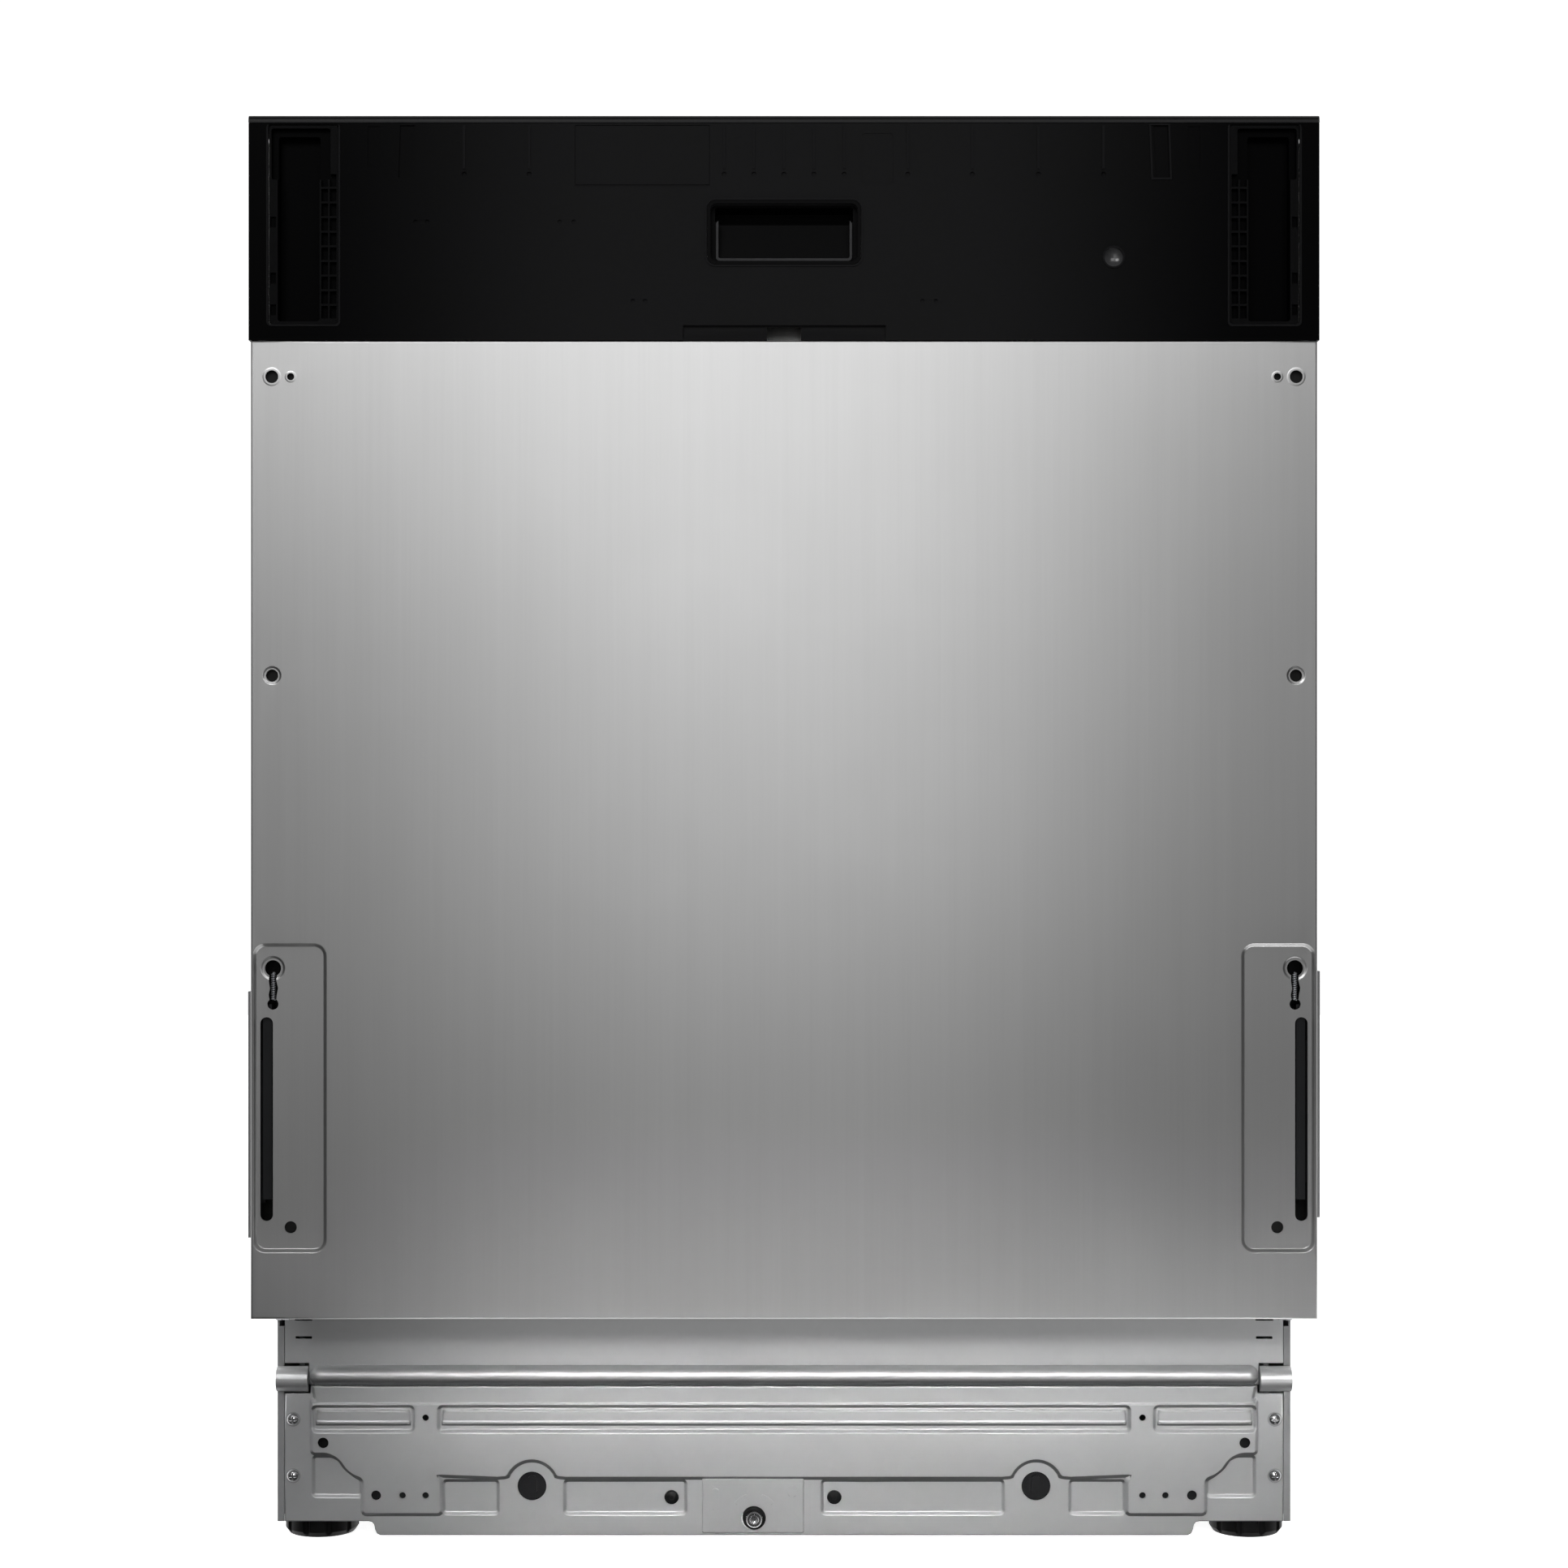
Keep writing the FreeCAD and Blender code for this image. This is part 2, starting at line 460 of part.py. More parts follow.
# feed tube up the back wall and along the ceiling
R = 9.0
ft = fuse(cylz(R, 0, 226, 186, 762), Part.makeSphere(R, V(0, 226, 762)), Part.makeSphere(R, V(0, 226, 186)),
          seg((0, 226, 762), (0, 205, 783), R), Part.makeSphere(R, V(0, 205, 783)),
          seg((0, 205, 783), (0, 0, 783), R), Part.makeSphere(R, V(0, 0, 783)), cylz(7, 0, 0, 769.4, 783),
          cylz(4.12, 0, 0, 752, 770), cylz(8, 0, 0, 750.4, 754.1),
          seg((0, 226, 183.2), (0, 200, 183.2), 6), Part.makeSphere(6, V(0, 200, 183.2)), cylz(5.8, 0, 200, 141, 183.2),
          cyly(12, 0, 209, 226, 454.6))
ft = ft.cut(cyly(9, 0, 205, 222, 454.6))
save("feed_tube", ft)

hook = fuse(box(-20, 20, -225.4, -222.05, 797, 809), box(-9, 9, -243, -225.4, 799, 804))
hook = hook.cut(box(-5, 5, -239, -232, 790, 810))
save("latch_hook", hook)

# ---------------------------------------------------------------- door skins
sheet = box(-297, 297, Y_SHEET, Y_SHEET + 1, Z_DOOR, 691.8)
for s in (-1, 1):
    sheet = sheet.fuse(box(s * 296, s * 297, Y_SHEET, -250, Z_DOOR, 691.8))
sheet = sheet.fuse(box(-296, 296, Y_SHEET, -260, Z_DOOR, Z_DOOR + 1))
sheet = sheet.fuse(box(-292, 292, Y_SHEET + 0.5, -271.4, 688, 691.8))
sheet = sheet.removeSplitter()
for s in (-1, 1):
    pan = rbox(s * 255, s * 296, Y_SHEET + 0.2, -270.2, 184.4, 356.1, 7)
    sheet = sheet.fuse(pan)
    cutter = rbox(s * 256, s * 295, -280, -271.2, 185.4, 355.1, 6)
    e = [k for k in cutter.Edges if abs(k.BoundBox.YMin + 271.2) < 1e-3 and abs(k.BoundBox.YMax + 271.2) < 1e-3]
    cutter = cutter.makeChamfer(1.2, e)
    sheet = sheet.cut(cutter)
    sheet = sheet.cut(rbox(s * 284.8, s * 292, -280, -265, 201.4, 315.0, 3.55))
    sheet = sheet.cut(cyly(3.4, s * 275, -280, -265, 197.9))
    sheet = sheet.cut(cyly(4.6, s * 284.9, -280, -265, 342.3)).cut(cyly(3.0, s * 284.5, -280, -265, 322.1))
    sheet = sheet.cut(box(s * 283.4, s * 286.2, -280, -265, 322, 342))
    sheet = sheet.cut(cyly(3.6, s * 285.1, -280, -265, 671.7)).cut(cyly(2.0, s * 274.6, -280, -265, 671.7))
    sheet = sheet.cut(cyly(3.4, s * 285, -280, -265, 505.4))
    sheet = sheet.cut(box(s * 295.5, s * 298, -264.2, -255.8, 199.5, 352.5))
save("door_outer_panel", sheet.removeSplitter())

liner = box(-291, 291, Y_LINER - 1.2, Y_LINER, 157, 812)
for s in (-1, 1):
    liner = liner.fuse(box(s * 289.8, s * 291, Y_LINER - 0.5, -249.5, 157, 691))
liner = liner.fuse(box(-291, 291, Y_LINER - 0.5, -240, 157, 158.2))
liner = liner.fuse(rbox(-206, 206, -233.2, Y_LINER, 204, 640, 24))
liner = liner.removeSplitter()
cutter = rbox(-204.8, 204.8, -232, -220, 205.2, 638.8, 23)
e = [k for k in cutter.Edges if abs(k.BoundBox.YMin + 232) < 1e-3 and abs(k.BoundBox.YMax + 232) < 1e-3]
cutter = cutter.makeChamfer(2.5, e)
liner = liner.cut(cutter)
liner = liner.cut(rbox(-106, 86, -240, -225, 444, 556, 6))
liner = liner.cut(box(-14, 14, -240, -220, 793, 807.5))
save("door_inner_liner", liner.removeSplitter())

seal = box(-238, 238, -227.95, -224.6, 160, 168)
save("lower_door_seal", seal)

# ---------------------------------------------------------------- console
FIELD_Y = -274.4         # general level of the console front, the ribs stand up to Y_FRONT
con = box(-W_HALF, W_HALF, FIELD_Y, -232, Z_CONSOLE, 812.8).cut(box(-295.5, 295.5, -272.5, -200, 694.4, 900))
con = con.cut(box(-300, 300, -250, -220, 680, 694.4 + 0.01)).cut(box(-260, 260, -273, -240, 690, 694.41))
# window for the two panel guides, pull pocket, status light
for s in (-1, 1):
    con = con.cut(rbox(s * 248, s * 287, -280, -271, 700.8, 812.0, 2))
con = con.cut(rbox(-43, 43, -280, -270, 734, 770, 5))
con = con.cut(cyly(5.3, 183.5, -280, -270, 738.3))
# pull notch in the lower edge: a dark upper part over a sloping lip, open in the middle
con = con.fuse(box(-58.0, 58.3, -273, -270.6, Z_CONSOLE, 702.4))
con = con.cut(poly_yz([(-280, 700.4), (-271.8, 700.4), (-271.8, 697.0), (-274.2, 691.0), (-280, 691.0)], -56.3, 56.6))
con = con.cut(box(-9.5, 9.5, -280, -270.0, 690, 699.6))
# slots near the top edge
for s in (-1, 1):
    con = con.cut(prism_xz([("L", s * 206.8, 782.4), ("L", s * 214.6, 782.4), ("L", s * 213.6, 811.6), ("L", s * 205.6, 811.6)], -280, -273.3))
    con = con.cut(box(s * 224.8, s * 231.6, -280, -273.9, 788, 811))
# raised ribs with a dimple at the lower end
for x in (-178, -141.8, -33.3, -16.7, 0, 16.7, 33.5, 68.9, 104.8, 141.6, 177.8):
    con = con.fuse(box(x - 0.7, x + 0.7, Y_FRONT, FIELD_Y + 0.2, 787.4, 811.6))
    con = con.cut(cyly(1.4, x, -280, -273.3, 784.3))
# raised borders: guide windows, edge slot, pull pocket, status light
for s in (-1, 1):
    con = con.fuse(rbox(s * 246.9, s * 288.1, Y_FRONT, FIELD_Y + 0.2, 699.7, 812.6, 2.6).cut(
        rbox(s * 248, s * 287, -280, -270, 700.8, 813.5, 2)))
con = con.fuse(prism_xz([("L", 204.4, 781.4), ("L", 215.8, 781.4), ("L", 214.8, 812.4), ("L", 203.2, 812.4)], Y_FRONT, FIELD_Y + 0.2).cut(
    prism_xz([("L", 205.4, 782.4), ("L", 214.8, 782.4), ("L", 213.8, 811.6), ("L", 204.2, 811.6)], -280, -270)))
con = con.fuse(rbox(-44.0, 44.0, Y_FRONT, FIELD_Y + 0.2, 733.0, 771.0, 6).cut(rbox(-43, 43, -280, -270, 734, 770, 5)))
con = con.fuse(cyly(6.2, 183.5, Y_FRONT, FIELD_Y + 0.2, 738.3).cut(cyly(5.3, 183.5, -280, -270, 738.3)))
# label field and small rounded field
con = con.cut(rbox(-116.4, -41.2, -280, -273.8, 777.0, 811.8, 1)).fuse(box(-115.9, -41.7, FIELD_Y, -273.6, 778.6, 811.3))
con = con.cut(rbox(43.2, 60.8, -280, -274.0, 778.7, 807.2, 2))
for x, z in ((-205.1, 757.9), (-198.6, 757.9), (-124.8, 757.9), (-117, 757.9), (-84.1, 713.8), (-77.3, 713.8),
             (77.1, 713.8), (84.6, 713.8)):
    con = con.cut(cyly(1.2, x, -280, -273.4, z))
con = con.removeSplitter()
save("console_front", con)

for s, name in ((-1, "panel_guide_left"), (1, "panel_guide_right")):
    g = rbox(s * 248.3, s * 286.7, -273.6, -258, 701.1, 811.7, 1.8)
    g = g.cut(rbox(s * 252.5, s * 285.4, -280, -269.5, 781.5, 810, 1.5))           # wide head of the channel
    g = g.cut(rbox(s * 258.6, s * 281.9, -280, -262, 702.6, 786, 1.5))              # narrow leg
    g = g.cut(rbox(s * 258.6, s * 281.9, -280, -262, 783, 806, 1.5))
    for k in range(10):                                                            # ratchet cells
        z = 704.2 + 8.15 * k
        for x0, x1 in ((249.2, 252.9), (253.9, 257.6)):
            g = g.cut(box(s * x0, s * x1, -280, -270.2, z, z + 7.0))
    for z in (709.0, 726.7, 757.9):                                                 # clips on the outer side
        g = g.cut(box(s * 282.9, s * 286.0, -280, -271.8, z - 3, z + 3))
    save(name, g.removeSplitter())

gp = rbox(-42.8, 42.8, Y_FRONT, -243, 734.2, 769.8, 4.8)
gp = gp.cut(rbox(-41, 41, -280, -268.5, 735.9, 768, 3.6))
lower_cut = poly_yz([(-269, 738.2), (-266.5, 738.2), (-262.5, 758.6), (-262.5, 759), (-269, 759)], -36.6, 36.6)
u = rbox(-37.9, 37.9, -270.6, -268.3, 736.8, 759.2, 2.0).cut(rbox(-36.6, 36.6, -272, -268, 738.2, 761, 1.2))
gp = gp.fuse(u).cut(lower_cut).cut(rbox(-38.5, 38.5, -270, -245.5, 758, 767.0, 1.5))
save("grip_pocket", gp.removeSplitter())

fas = box(-W_HALF, W_HALF, Y_FRONT, -229.4, 813.0, Z_FASCIA)
e = [k for k in fas.Edges if abs(k.BoundBox.YMax - Y_FRONT) < 1e-3 and abs(k.BoundBox.ZMin - Z_FASCIA) < 1e-3]
fas = fas.makeFillet(3.2, e)
BUTTONS = {"power_button": (-236, 9), "program_button": (-150, 13), "option_button": (130, 13), "start_button": (236, 9)}
for name, (x, hw) in BUTTONS.items():
    fas = fas.cut(rboxz(x - hw - 0.35, x + hw + 0.35, -255.35, -240.65, 800, 830, 2.2))
fas = fas.cut(box(-46, 46.4, -264, -234, 815.2, 830))
save("control_fascia", fas)
disp = rboxz(-45.7, 46.1, -263.7, -234.3, 815.25, H_TOP, 2.0)
save("display_window", disp)
for name, (x, hw) in BUTTONS.items():
    b = rboxz(x - hw, x + hw, -255, -241, 810.8, 817.9, 2.0)
    b = b.fuse(rboxz(x - hw - 1.5, x + hw + 1.5, -256.5, -239.5, 809.4, 811.6, 2.0))
    save(name, b.removeSplitter())
lens = cyly(5.25, 183.5, -273.6, -262, 738.3)
lens = lens.cut(Part.makeSphere(9, V(183.5, -280.6, 738.3)))
save("status_lens", lens)

lock = box(-32, 32, -262, -230.2, 776, 812.2).cut(box(-13, 13, -250, -225, 794, 808.5))
save("door_lock", lock)

disp_h = fuse(rbox(-112, 92, -231.95, -229.6, 438, 562, 8), rbox(-105, 85, -254, -231.9, 445, 555, 5))
disp_h = disp_h.cut(rbox(-98, -22, -250, -225, 460, 540, 5))
disp_h = disp_h.cut(cyly(25, 48, -236, -225, 505))
save("dispenser_housing", disp_h)
lid = rbox(-104, -17, -229.3, -226.4, 453, 547, 5)
lid = lid.fuse(rbox(-30, -22, -226.6, -224.6, 480, 520, 2))
save("detergent_lid", lid.removeSplitter())
rc = cyly(24.92, 48, -235.6, -228.6, 505).fuse(box(29, 67, -228.6, -225.6, 502, 508)).removeSplitter()
save("rinse_aid_cap", rc)

# ---------------------------------------------------------------- furniture panel sliders
for s, name, z0 in ((-1, "panel_slider_left", 191.8), (1, "panel_slider_right", 203.2)):
    st = box(s * 297.3, s * 299.0, -270, -246, z0, z0 + 137.4)
    web = box(s * 290.5, s * 297.3, -262.5, -257.5, z0 + 18.5, z0 + 98)
    bar = box(s * 286, s * 291, -268.6, -257.5, 213, 322)
    sl = fuse(st, web, bar)
    save(name, sl)


# ---------------------------------------------------------------- racks
def ring_frame(x, y0, y1, z, r):
    """Rounded-corner rectangular frame of round rod, lying flat."""
    c = 18.0
    pts = [V(-x + c, y0, z), V(x - c, y0, z), V(x, y0 + c, z), V(x, y1 - c, z), V(x - c, y1, z), V(-x + c, y1, z), V(-x, y1 - c, z), V(-x, y0 + c, z)]
    k = c * (1 - math.sqrt(0.5))
    mids = [None, V(x - k, y0 + k, z), None, V(x - k, y1 - k, z), None, V(-x + k, y1 - k, z), None, V(-x + k, y0 + k, z)]
    ed = []
    for i in range(8):
        a, b = pts[i], pts[(i + 1) % 8]
        ed.append(Part.LineSegment(a, b).toShape() if mids[i] is None else Part.Arc(a, mids[i], b).toShape())
    w = Part.Wire(ed)
    prof = Part.Wire(Part.makeCircle(r, V(0, y0, z), V(1, 0, 0)))
    # start the sweep in the middle of a straight side
    ed2 = [Part.LineSegment(V(0, y0, z), pts[1]).toShape()] + ed[1:] + [Part.LineSegment(pts[0], V(0, y0, z)).toShape()]
    return Part.Wire(ed2).makePipeShell([prof], True, False)


def grid_floor(x, y0, y1, z, nx, ny, r, rr):
    parts = [ring_frame(x, y0, y1, z, rr)]
    for i in range(nx):
        xx = -x + 2 * x * (i + 1) / (nx + 1)
        parts.append(seg((xx, y0, z + r + rr - 0.9), (xx, y1, z + r + rr - 0.9), r))
    for j in range(ny):
        yy = y0 + (y1 - y0) * (j + 1) / (ny + 1)
        parts.append(seg((-x, yy, z), (x, yy, z), r))
    return fuse(*parts)


def wall(a, b, z0, z1, n, r, rr, off, mids=(0.5,)):
    """Upright flat panel of wires between floor points a and b (x, y)."""
    ax, ay = a; bx, by = b
    parts = [seg((ax, ay, z1), (bx, by, z1), rr)]
    L = math.hypot(bx - ax, by - ay)
    ux, uy = (bx - ax) / L, (by - ay) / L
    for i in range(n):
        t = (i + 0.5) / n
        parts.append(seg((ax + (bx - ax) * t, ay + (by - ay) * t, z0), (ax + (bx - ax) * t, ay + (by - ay) * t, z1), r))
    for m in mids:
        z = z0 + (z1 - z0) * m
        parts.append(seg((ax + off[0], ay + off[1], z), (bx + off[0], by + off[1], z), r))
    return fuse(*parts)


RX, RY0, RY1 = 240.0, RACK_FRONT, 206.0
RTOP = 338.0
o = 2 * WIRE - 0.8
low = [grid_floor(RX, RY0, RY1, RACK_Z, 12, 8, WIRE, 2.5)]
zw = RACK_Z + 2.7
low.append(wall((-222, RY0), (222, RY0), zw, RTOP - 14, 13, WIRE, 2.5, (0, o)))
low.append(wall((-222, RY1), (222, RY1), zw, RTOP, 13, WIRE, 2.5, (0, -o)))
low.append(wall((-RX, RY0 + 18), (-RX, RY1 - 18), zw, RTOP, 12, WIRE, 2.5, (o, 0)))
low.append(wall((RX, RY0 + 18), (RX, RY1 - 18), zw, RTOP, 12, WIRE, 2.5, (-o, 0)))
# fixed tine rows
zt = RACK_Z + 2.5 + 2 * WIRE - 0.9 + WIRE + 0.1
for x in (-166.0, -92.4):
    row = [seg((x, -160, zt), (x, 170, zt), WIRE)]
    for k in range(12):
        y = -150 + 28 * k
        row.append(seg((x, y, zt), (x, y - 6, zt + 62), WIRE))
        row.append(Part.makeSphere(WIRE, V(x, y - 6, zt + 62)))
    low.append(fuse(*row))
# axle carriers for the wheels: a flat plastic clip at each wheel
AX_Y = (-96.0, 150.0)
for s in (-1, 1):
    for y in AX_Y:
        clip = box(s * 236.5, s * 244.4, y - 9, y + 9, 186, RACK_Z - 2.6)
        stub = cylx(4.0, s * 243.5, s * 258.4, y, Z_LEDGE + 0.5 + WHEEL_R)
        low.append(fuse(clip, stub))
save("lower_rack", *low)
for y, name in zip(AX_Y, ("rack_wheels_front", "rack_wheels_rear")):
    ws = []
    for s in (-1, 1):
        w = cylx(WHEEL_R, s * 245.2, s * 257.4, y, Z_LEDGE + 0.5 + WHEEL_R)
        w = w.cut(cylx(4.08, s * 240, s * 262, y, Z_LEDGE + 0.5 + WHEEL_R))
        ring = cylx(13.6, s * 254.4, s * 260, y, Z_LEDGE + 0.5 + WHEEL_R).cut(cylx(7.4, s * 250, s * 262, y, Z_LEDGE + 0.5 + WHEEL_R))
        w = w.cut(ring)
        e = [k for k in w.Edges if abs(k.BoundBox.XMax - k.BoundBox.XMin) < 1e-3 and k.BoundBox.ZMax - k.BoundBox.ZMin > 2 * WHEEL_R - 0.5]
        w = w.makeFillet(2.0, e)
        ws.append(w)
    save(name, *ws)

fold_x = 18.6
zf = zt + 0.3
row = [seg((fold_x, -160, zf), (fold_x, 170, zf), WIRE)]
for k in range(12):
    y = -150 + 28 * k
    row.append(seg((fold_x, y, zf), (fold_x, y - 6, zf + 62), WIRE))
    row.append(Part.makeSphere(WIRE, V(fold_x, y - 6, zf + 62)))
save("fold_tines", fuse(*row))

cb = rboxz(112, 226, -194, -46, 227.9, 322, 8).cut(rboxz(114, 224, -192, -48, 230, 330, 6))
cb = cb.fuse(box(113, 225, -147, -145.4, 229, 318)).fuse(box(113, 225, -98, -96.4, 229, 318))
cb = cb.fuse(box(168.2, 169.8, -193, -47, 229, 318)).removeSplitter()
for i in range(8):
    y = -186 + 17.6 * i
    cb = cb.cut(box(100, 114.5, y, y + 10, 245, 306)).cut(box(223.5, 240, y, y + 10, 245, 306))
for i in range(6):
    x = 120 + 17 * i
    cb = cb.cut(box(x, x + 10, -200, -191.5, 245, 306)).cut(box(x, x + 10, -48.5, -40, 245, 306))
bow = fuse(box(167, 171, -172, -168, 318, 352), box(167, 171, -72, -68, 318, 352), box(167, 171, -172, -68, 348, 352))
cb = fuse(cb, bow)
save("cutlery_basket", cb)

UX, UY0, UY1 = 238.0, -198.0, 203.0
up = [grid_floor(UX, UY0, UY1, URACK_Z, 12, 8, WIRE, 2.5)]
zu = URACK_Z + 2.7
UT = 586.0
up.append(wall((-220, UY0), (220, UY0), zu, UT - 18, 13, WIRE, 2.5, (0, o)))
up.append(wall((-220, UY1), (220, UY1), zu, UT, 13, WIRE, 2.5, (0, -o)))
up.append(wall((-UX, UY0 + 18), (-UX, UY1 - 18), zu, UT, 12, WIRE, 2.5, (o, 0)))
up.append(wall((UX, UY0 + 18), (UX, UY1 - 18), zu, UT, 12, WIRE, 2.5, (-o, 0)))
ztu = zt - RACK_Z + URACK_Z
for x in (-128.2, -18.3, 91.5):
    row = [seg((x, -150, ztu), (x, 160, ztu), WIRE)]
    for k in range(10):
        y = -140 + 31 * k
        row.append(seg((x, y, ztu), (x, y - 5, ztu + 45), WIRE))
        row.append(Part.makeSphere(WIRE, V(x, y - 5, ztu + 45)))
    up.append(fuse(*row))
for s in (-1, 1):
    for y in (52.0, 186.0):
        hang = fuse(box(s * 240.6, s * 245.6, y - 9, y + 9, 530, 588), cylx(4.0, s * 245, s * 259.5, y, RAIL_Z), cylx(7.1, s * 259.4, s * 267.6, y, RAIL_Z))
        hang = hang.cut(cylx(2.0, s * 262, s * 270, y, RAIL_Z))
        up.append(hang)
# manifold that feeds the arm below the rack
man = fuse(box(-13, 13, 5, 196, 461.4, 467.2), box(-11, 11, 188, 198, 446, 467.2), cyly(8.6, 0, 190, 208.4, 454.6),
           cylz(20, 0, 5, 461.4, 467.2), cylz(6.0, 0, 5, 445, 467.2), cylz(9.0, 0, 5, 442, 446.9))
up.append(man)
save("upper_rack", *up)

rails = []
for s in (-1, 1):
    c = box(s * 258.6, s * 270.2, -196, 206, RAIL_Z - 9.2, RAIL_Z + 9.2)
    c = c.cut(box(s * 250, s * 269.0, -200, 210, RAIL_Z - 7.5, RAIL_Z + 7.5).cut(box(s * 250, s * 259.0, -200, 210, RAIL_Z - 5.5, RAIL_Z - 9)))
    c = c.fuse(box(s * 258.6, s * 269.4, -198.5, -196, RAIL_Z - 9.2, RAIL_Z + 9.2)).removeSplitter()
    rails.append(c)
save("rack_rails", *rails)
brs = []
for s in (-1, 1):
    for y in (-188.0, -74.0):
        b = box(s * 266, s * 281.45, y, y + 26, RAIL_Z - 16, RAIL_Z + 16)
        b = b.cut(box(s * 260, s * 270.6, y - 1, y + 27, RAIL_Z - 9.6, RAIL_Z + 9.6))
        brs.append(b)
save("rail_brackets", *brs)


# ---------------------------------------------------------------- spray arms
def arm(cx, cy, z0, z1, R, w0, w1, hub, top, bore, turn):
    """Two-bladed hollow arm, wide at the hub and narrower at the tips."""
    def pt(a, b):
        c, s_ = math.cos(turn), math.sin(turn)
        return V(cx + a * c - b * s_, cy + a * s_ + b * c, z0)
    ed = []
    def arc(p, m, q):
        ed.append(Part.Arc(pt(*p), pt(*m), pt(*q)).toShape())
    def line(p, q):
        ed.append(Part.LineSegment(pt(*p), pt(*q)).toShape())
    xt = R - w1
    arc((xt, w1), (R, 0), (xt, -w1))
    arc((xt, -w1), (R * 0.45, -w0 * 0.98), (0, -w0))
    arc((0, -w0), (-R * 0.45, -w0 * 0.98), (-xt, -w1))
    arc((-xt, -w1), (-R, 0), (-xt, w1))
    arc((-xt, w1), (-R * 0.45, w0 * 0.98), (0, w0))
    arc((0, w0), (R * 0.45, w0 * 0.98), (xt, w1))
    s = Part.Face(Part.Wire(ed)).extrude(V(0, 0, z1 - z0))
    s = s.fuse(cylz(hub, cx, cy, z0 - 2.5, z1 + top)).removeSplitter()
    s = s.cut(cylz(bore, cx, cy, z0 - 20, z1 + 20))
    for k, f in enumerate((0.42, 0.58, 0.72, 0.86)):
        for sg in (-1, 1):
            p = pt(sg * R * f, (6 if k % 2 else -6) * sg)
            s = s.cut(Part.makeCylinder(2.2, 3, V(p.x, p.y, z1 - 1.6), V(0, 0, 1)))
    return s


save("lower_spray_arm", arm(0, 0, 191, 205, 212, 27, 17, 24, 4.0, 5.08, math.radians(24)))
save("upper_spray_arm", arm(0, 5, 449.8, 459.0, 178, 22, 14, 20, 2.0, 6.08, math.radians(-31)))
save("top_spray_arm", arm(0, 0, 757, 765.0, 88, 15, 10, 15, 4.0, 4.2, math.radians(10)))
print(len(SAVED), "nodes saved")
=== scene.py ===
"""Looks of the built in dishwasher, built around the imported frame."""
import json
import math
import bpy
import bmesh
from mathutils import Vector, Matrix


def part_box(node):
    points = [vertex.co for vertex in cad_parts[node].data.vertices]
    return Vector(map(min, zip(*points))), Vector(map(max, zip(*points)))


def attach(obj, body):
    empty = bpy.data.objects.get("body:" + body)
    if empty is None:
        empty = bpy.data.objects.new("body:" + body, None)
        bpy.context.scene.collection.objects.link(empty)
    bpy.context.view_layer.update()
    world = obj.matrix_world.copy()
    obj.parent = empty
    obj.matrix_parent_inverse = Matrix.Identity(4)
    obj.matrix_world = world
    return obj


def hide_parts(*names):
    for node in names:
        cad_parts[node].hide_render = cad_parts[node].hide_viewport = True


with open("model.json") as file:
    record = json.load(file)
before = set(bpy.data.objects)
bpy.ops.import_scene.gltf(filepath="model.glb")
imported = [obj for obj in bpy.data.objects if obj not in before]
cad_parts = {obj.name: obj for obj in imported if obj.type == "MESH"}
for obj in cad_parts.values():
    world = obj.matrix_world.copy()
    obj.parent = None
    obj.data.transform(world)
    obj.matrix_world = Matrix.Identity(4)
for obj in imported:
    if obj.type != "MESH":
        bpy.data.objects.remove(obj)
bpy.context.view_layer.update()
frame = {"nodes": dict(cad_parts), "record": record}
N = frame["nodes"]
scene = bpy.context.scene


# ================================================================= materials
def new_mat(name):
    m = bpy.data.materials.new(name)
    m.use_nodes = True
    nt = m.node_tree
    for n in list(nt.nodes):
        nt.nodes.remove(n)
    out = nt.nodes.new("ShaderNodeOutputMaterial")
    b = nt.nodes.new("ShaderNodeBsdfPrincipled")
    nt.links.new(b.outputs[0], out.inputs[0])
    return m, nt, b


def coords(nt, scale=(1, 1, 1), rot=(0, 0, 0)):
    tc = nt.nodes.new("ShaderNodeTexCoord")
    mp = nt.nodes.new("ShaderNodeMapping")
    mp.inputs["Scale"].default_value = scale
    mp.inputs["Rotation"].default_value = rot
    nt.links.new(tc.outputs["Object"], mp.inputs["Vector"])
    return mp.outputs["Vector"]


def noise(nt, vec, scale, detail=3.0, rough=0.5, dist=0.0):
    n = nt.nodes.new("ShaderNodeTexNoise")
    n.inputs["Scale"].default_value = scale
    n.inputs["Detail"].default_value = detail
    n.inputs["Roughness"].default_value = rough
    n.inputs["Distortion"].default_value = dist
    nt.links.new(vec, n.inputs["Vector"])
    return n.outputs["Fac"]


def remap(nt, fac, lo, hi, a=0.25, b=0.75):
    r = nt.nodes.new("ShaderNodeMapRange")
    r.inputs["From Min"].default_value = a
    r.inputs["From Max"].default_value = b
    r.inputs["To Min"].default_value = lo
    r.inputs["To Max"].default_value = hi
    nt.links.new(fac, r.inputs["Value"])
    return r.outputs["Result"]


def colour(nt, fac, c0, c1, p0=0.3, p1=0.7):
    r = nt.nodes.new("ShaderNodeValToRGB")
    e = r.color_ramp.elements
    e[0].position, e[1].position = p0, p1
    e[0].color = (*c0, 1)
    e[1].color = (*c1, 1)
    nt.links.new(fac, r.inputs["Fac"])
    return r.outputs["Color"]


def mixc(nt, a, b, fac, mode="MIX"):
    m = nt.nodes.new("ShaderNodeMix")
    m.data_type = "RGBA"
    m.blend_type = mode
    if isinstance(fac, float):
        m.inputs[0].default_value = fac
    else:
        nt.links.new(fac, m.inputs[0])
    nt.links.new(a, m.inputs[6])
    nt.links.new(b, m.inputs[7])
    return m.outputs[2]


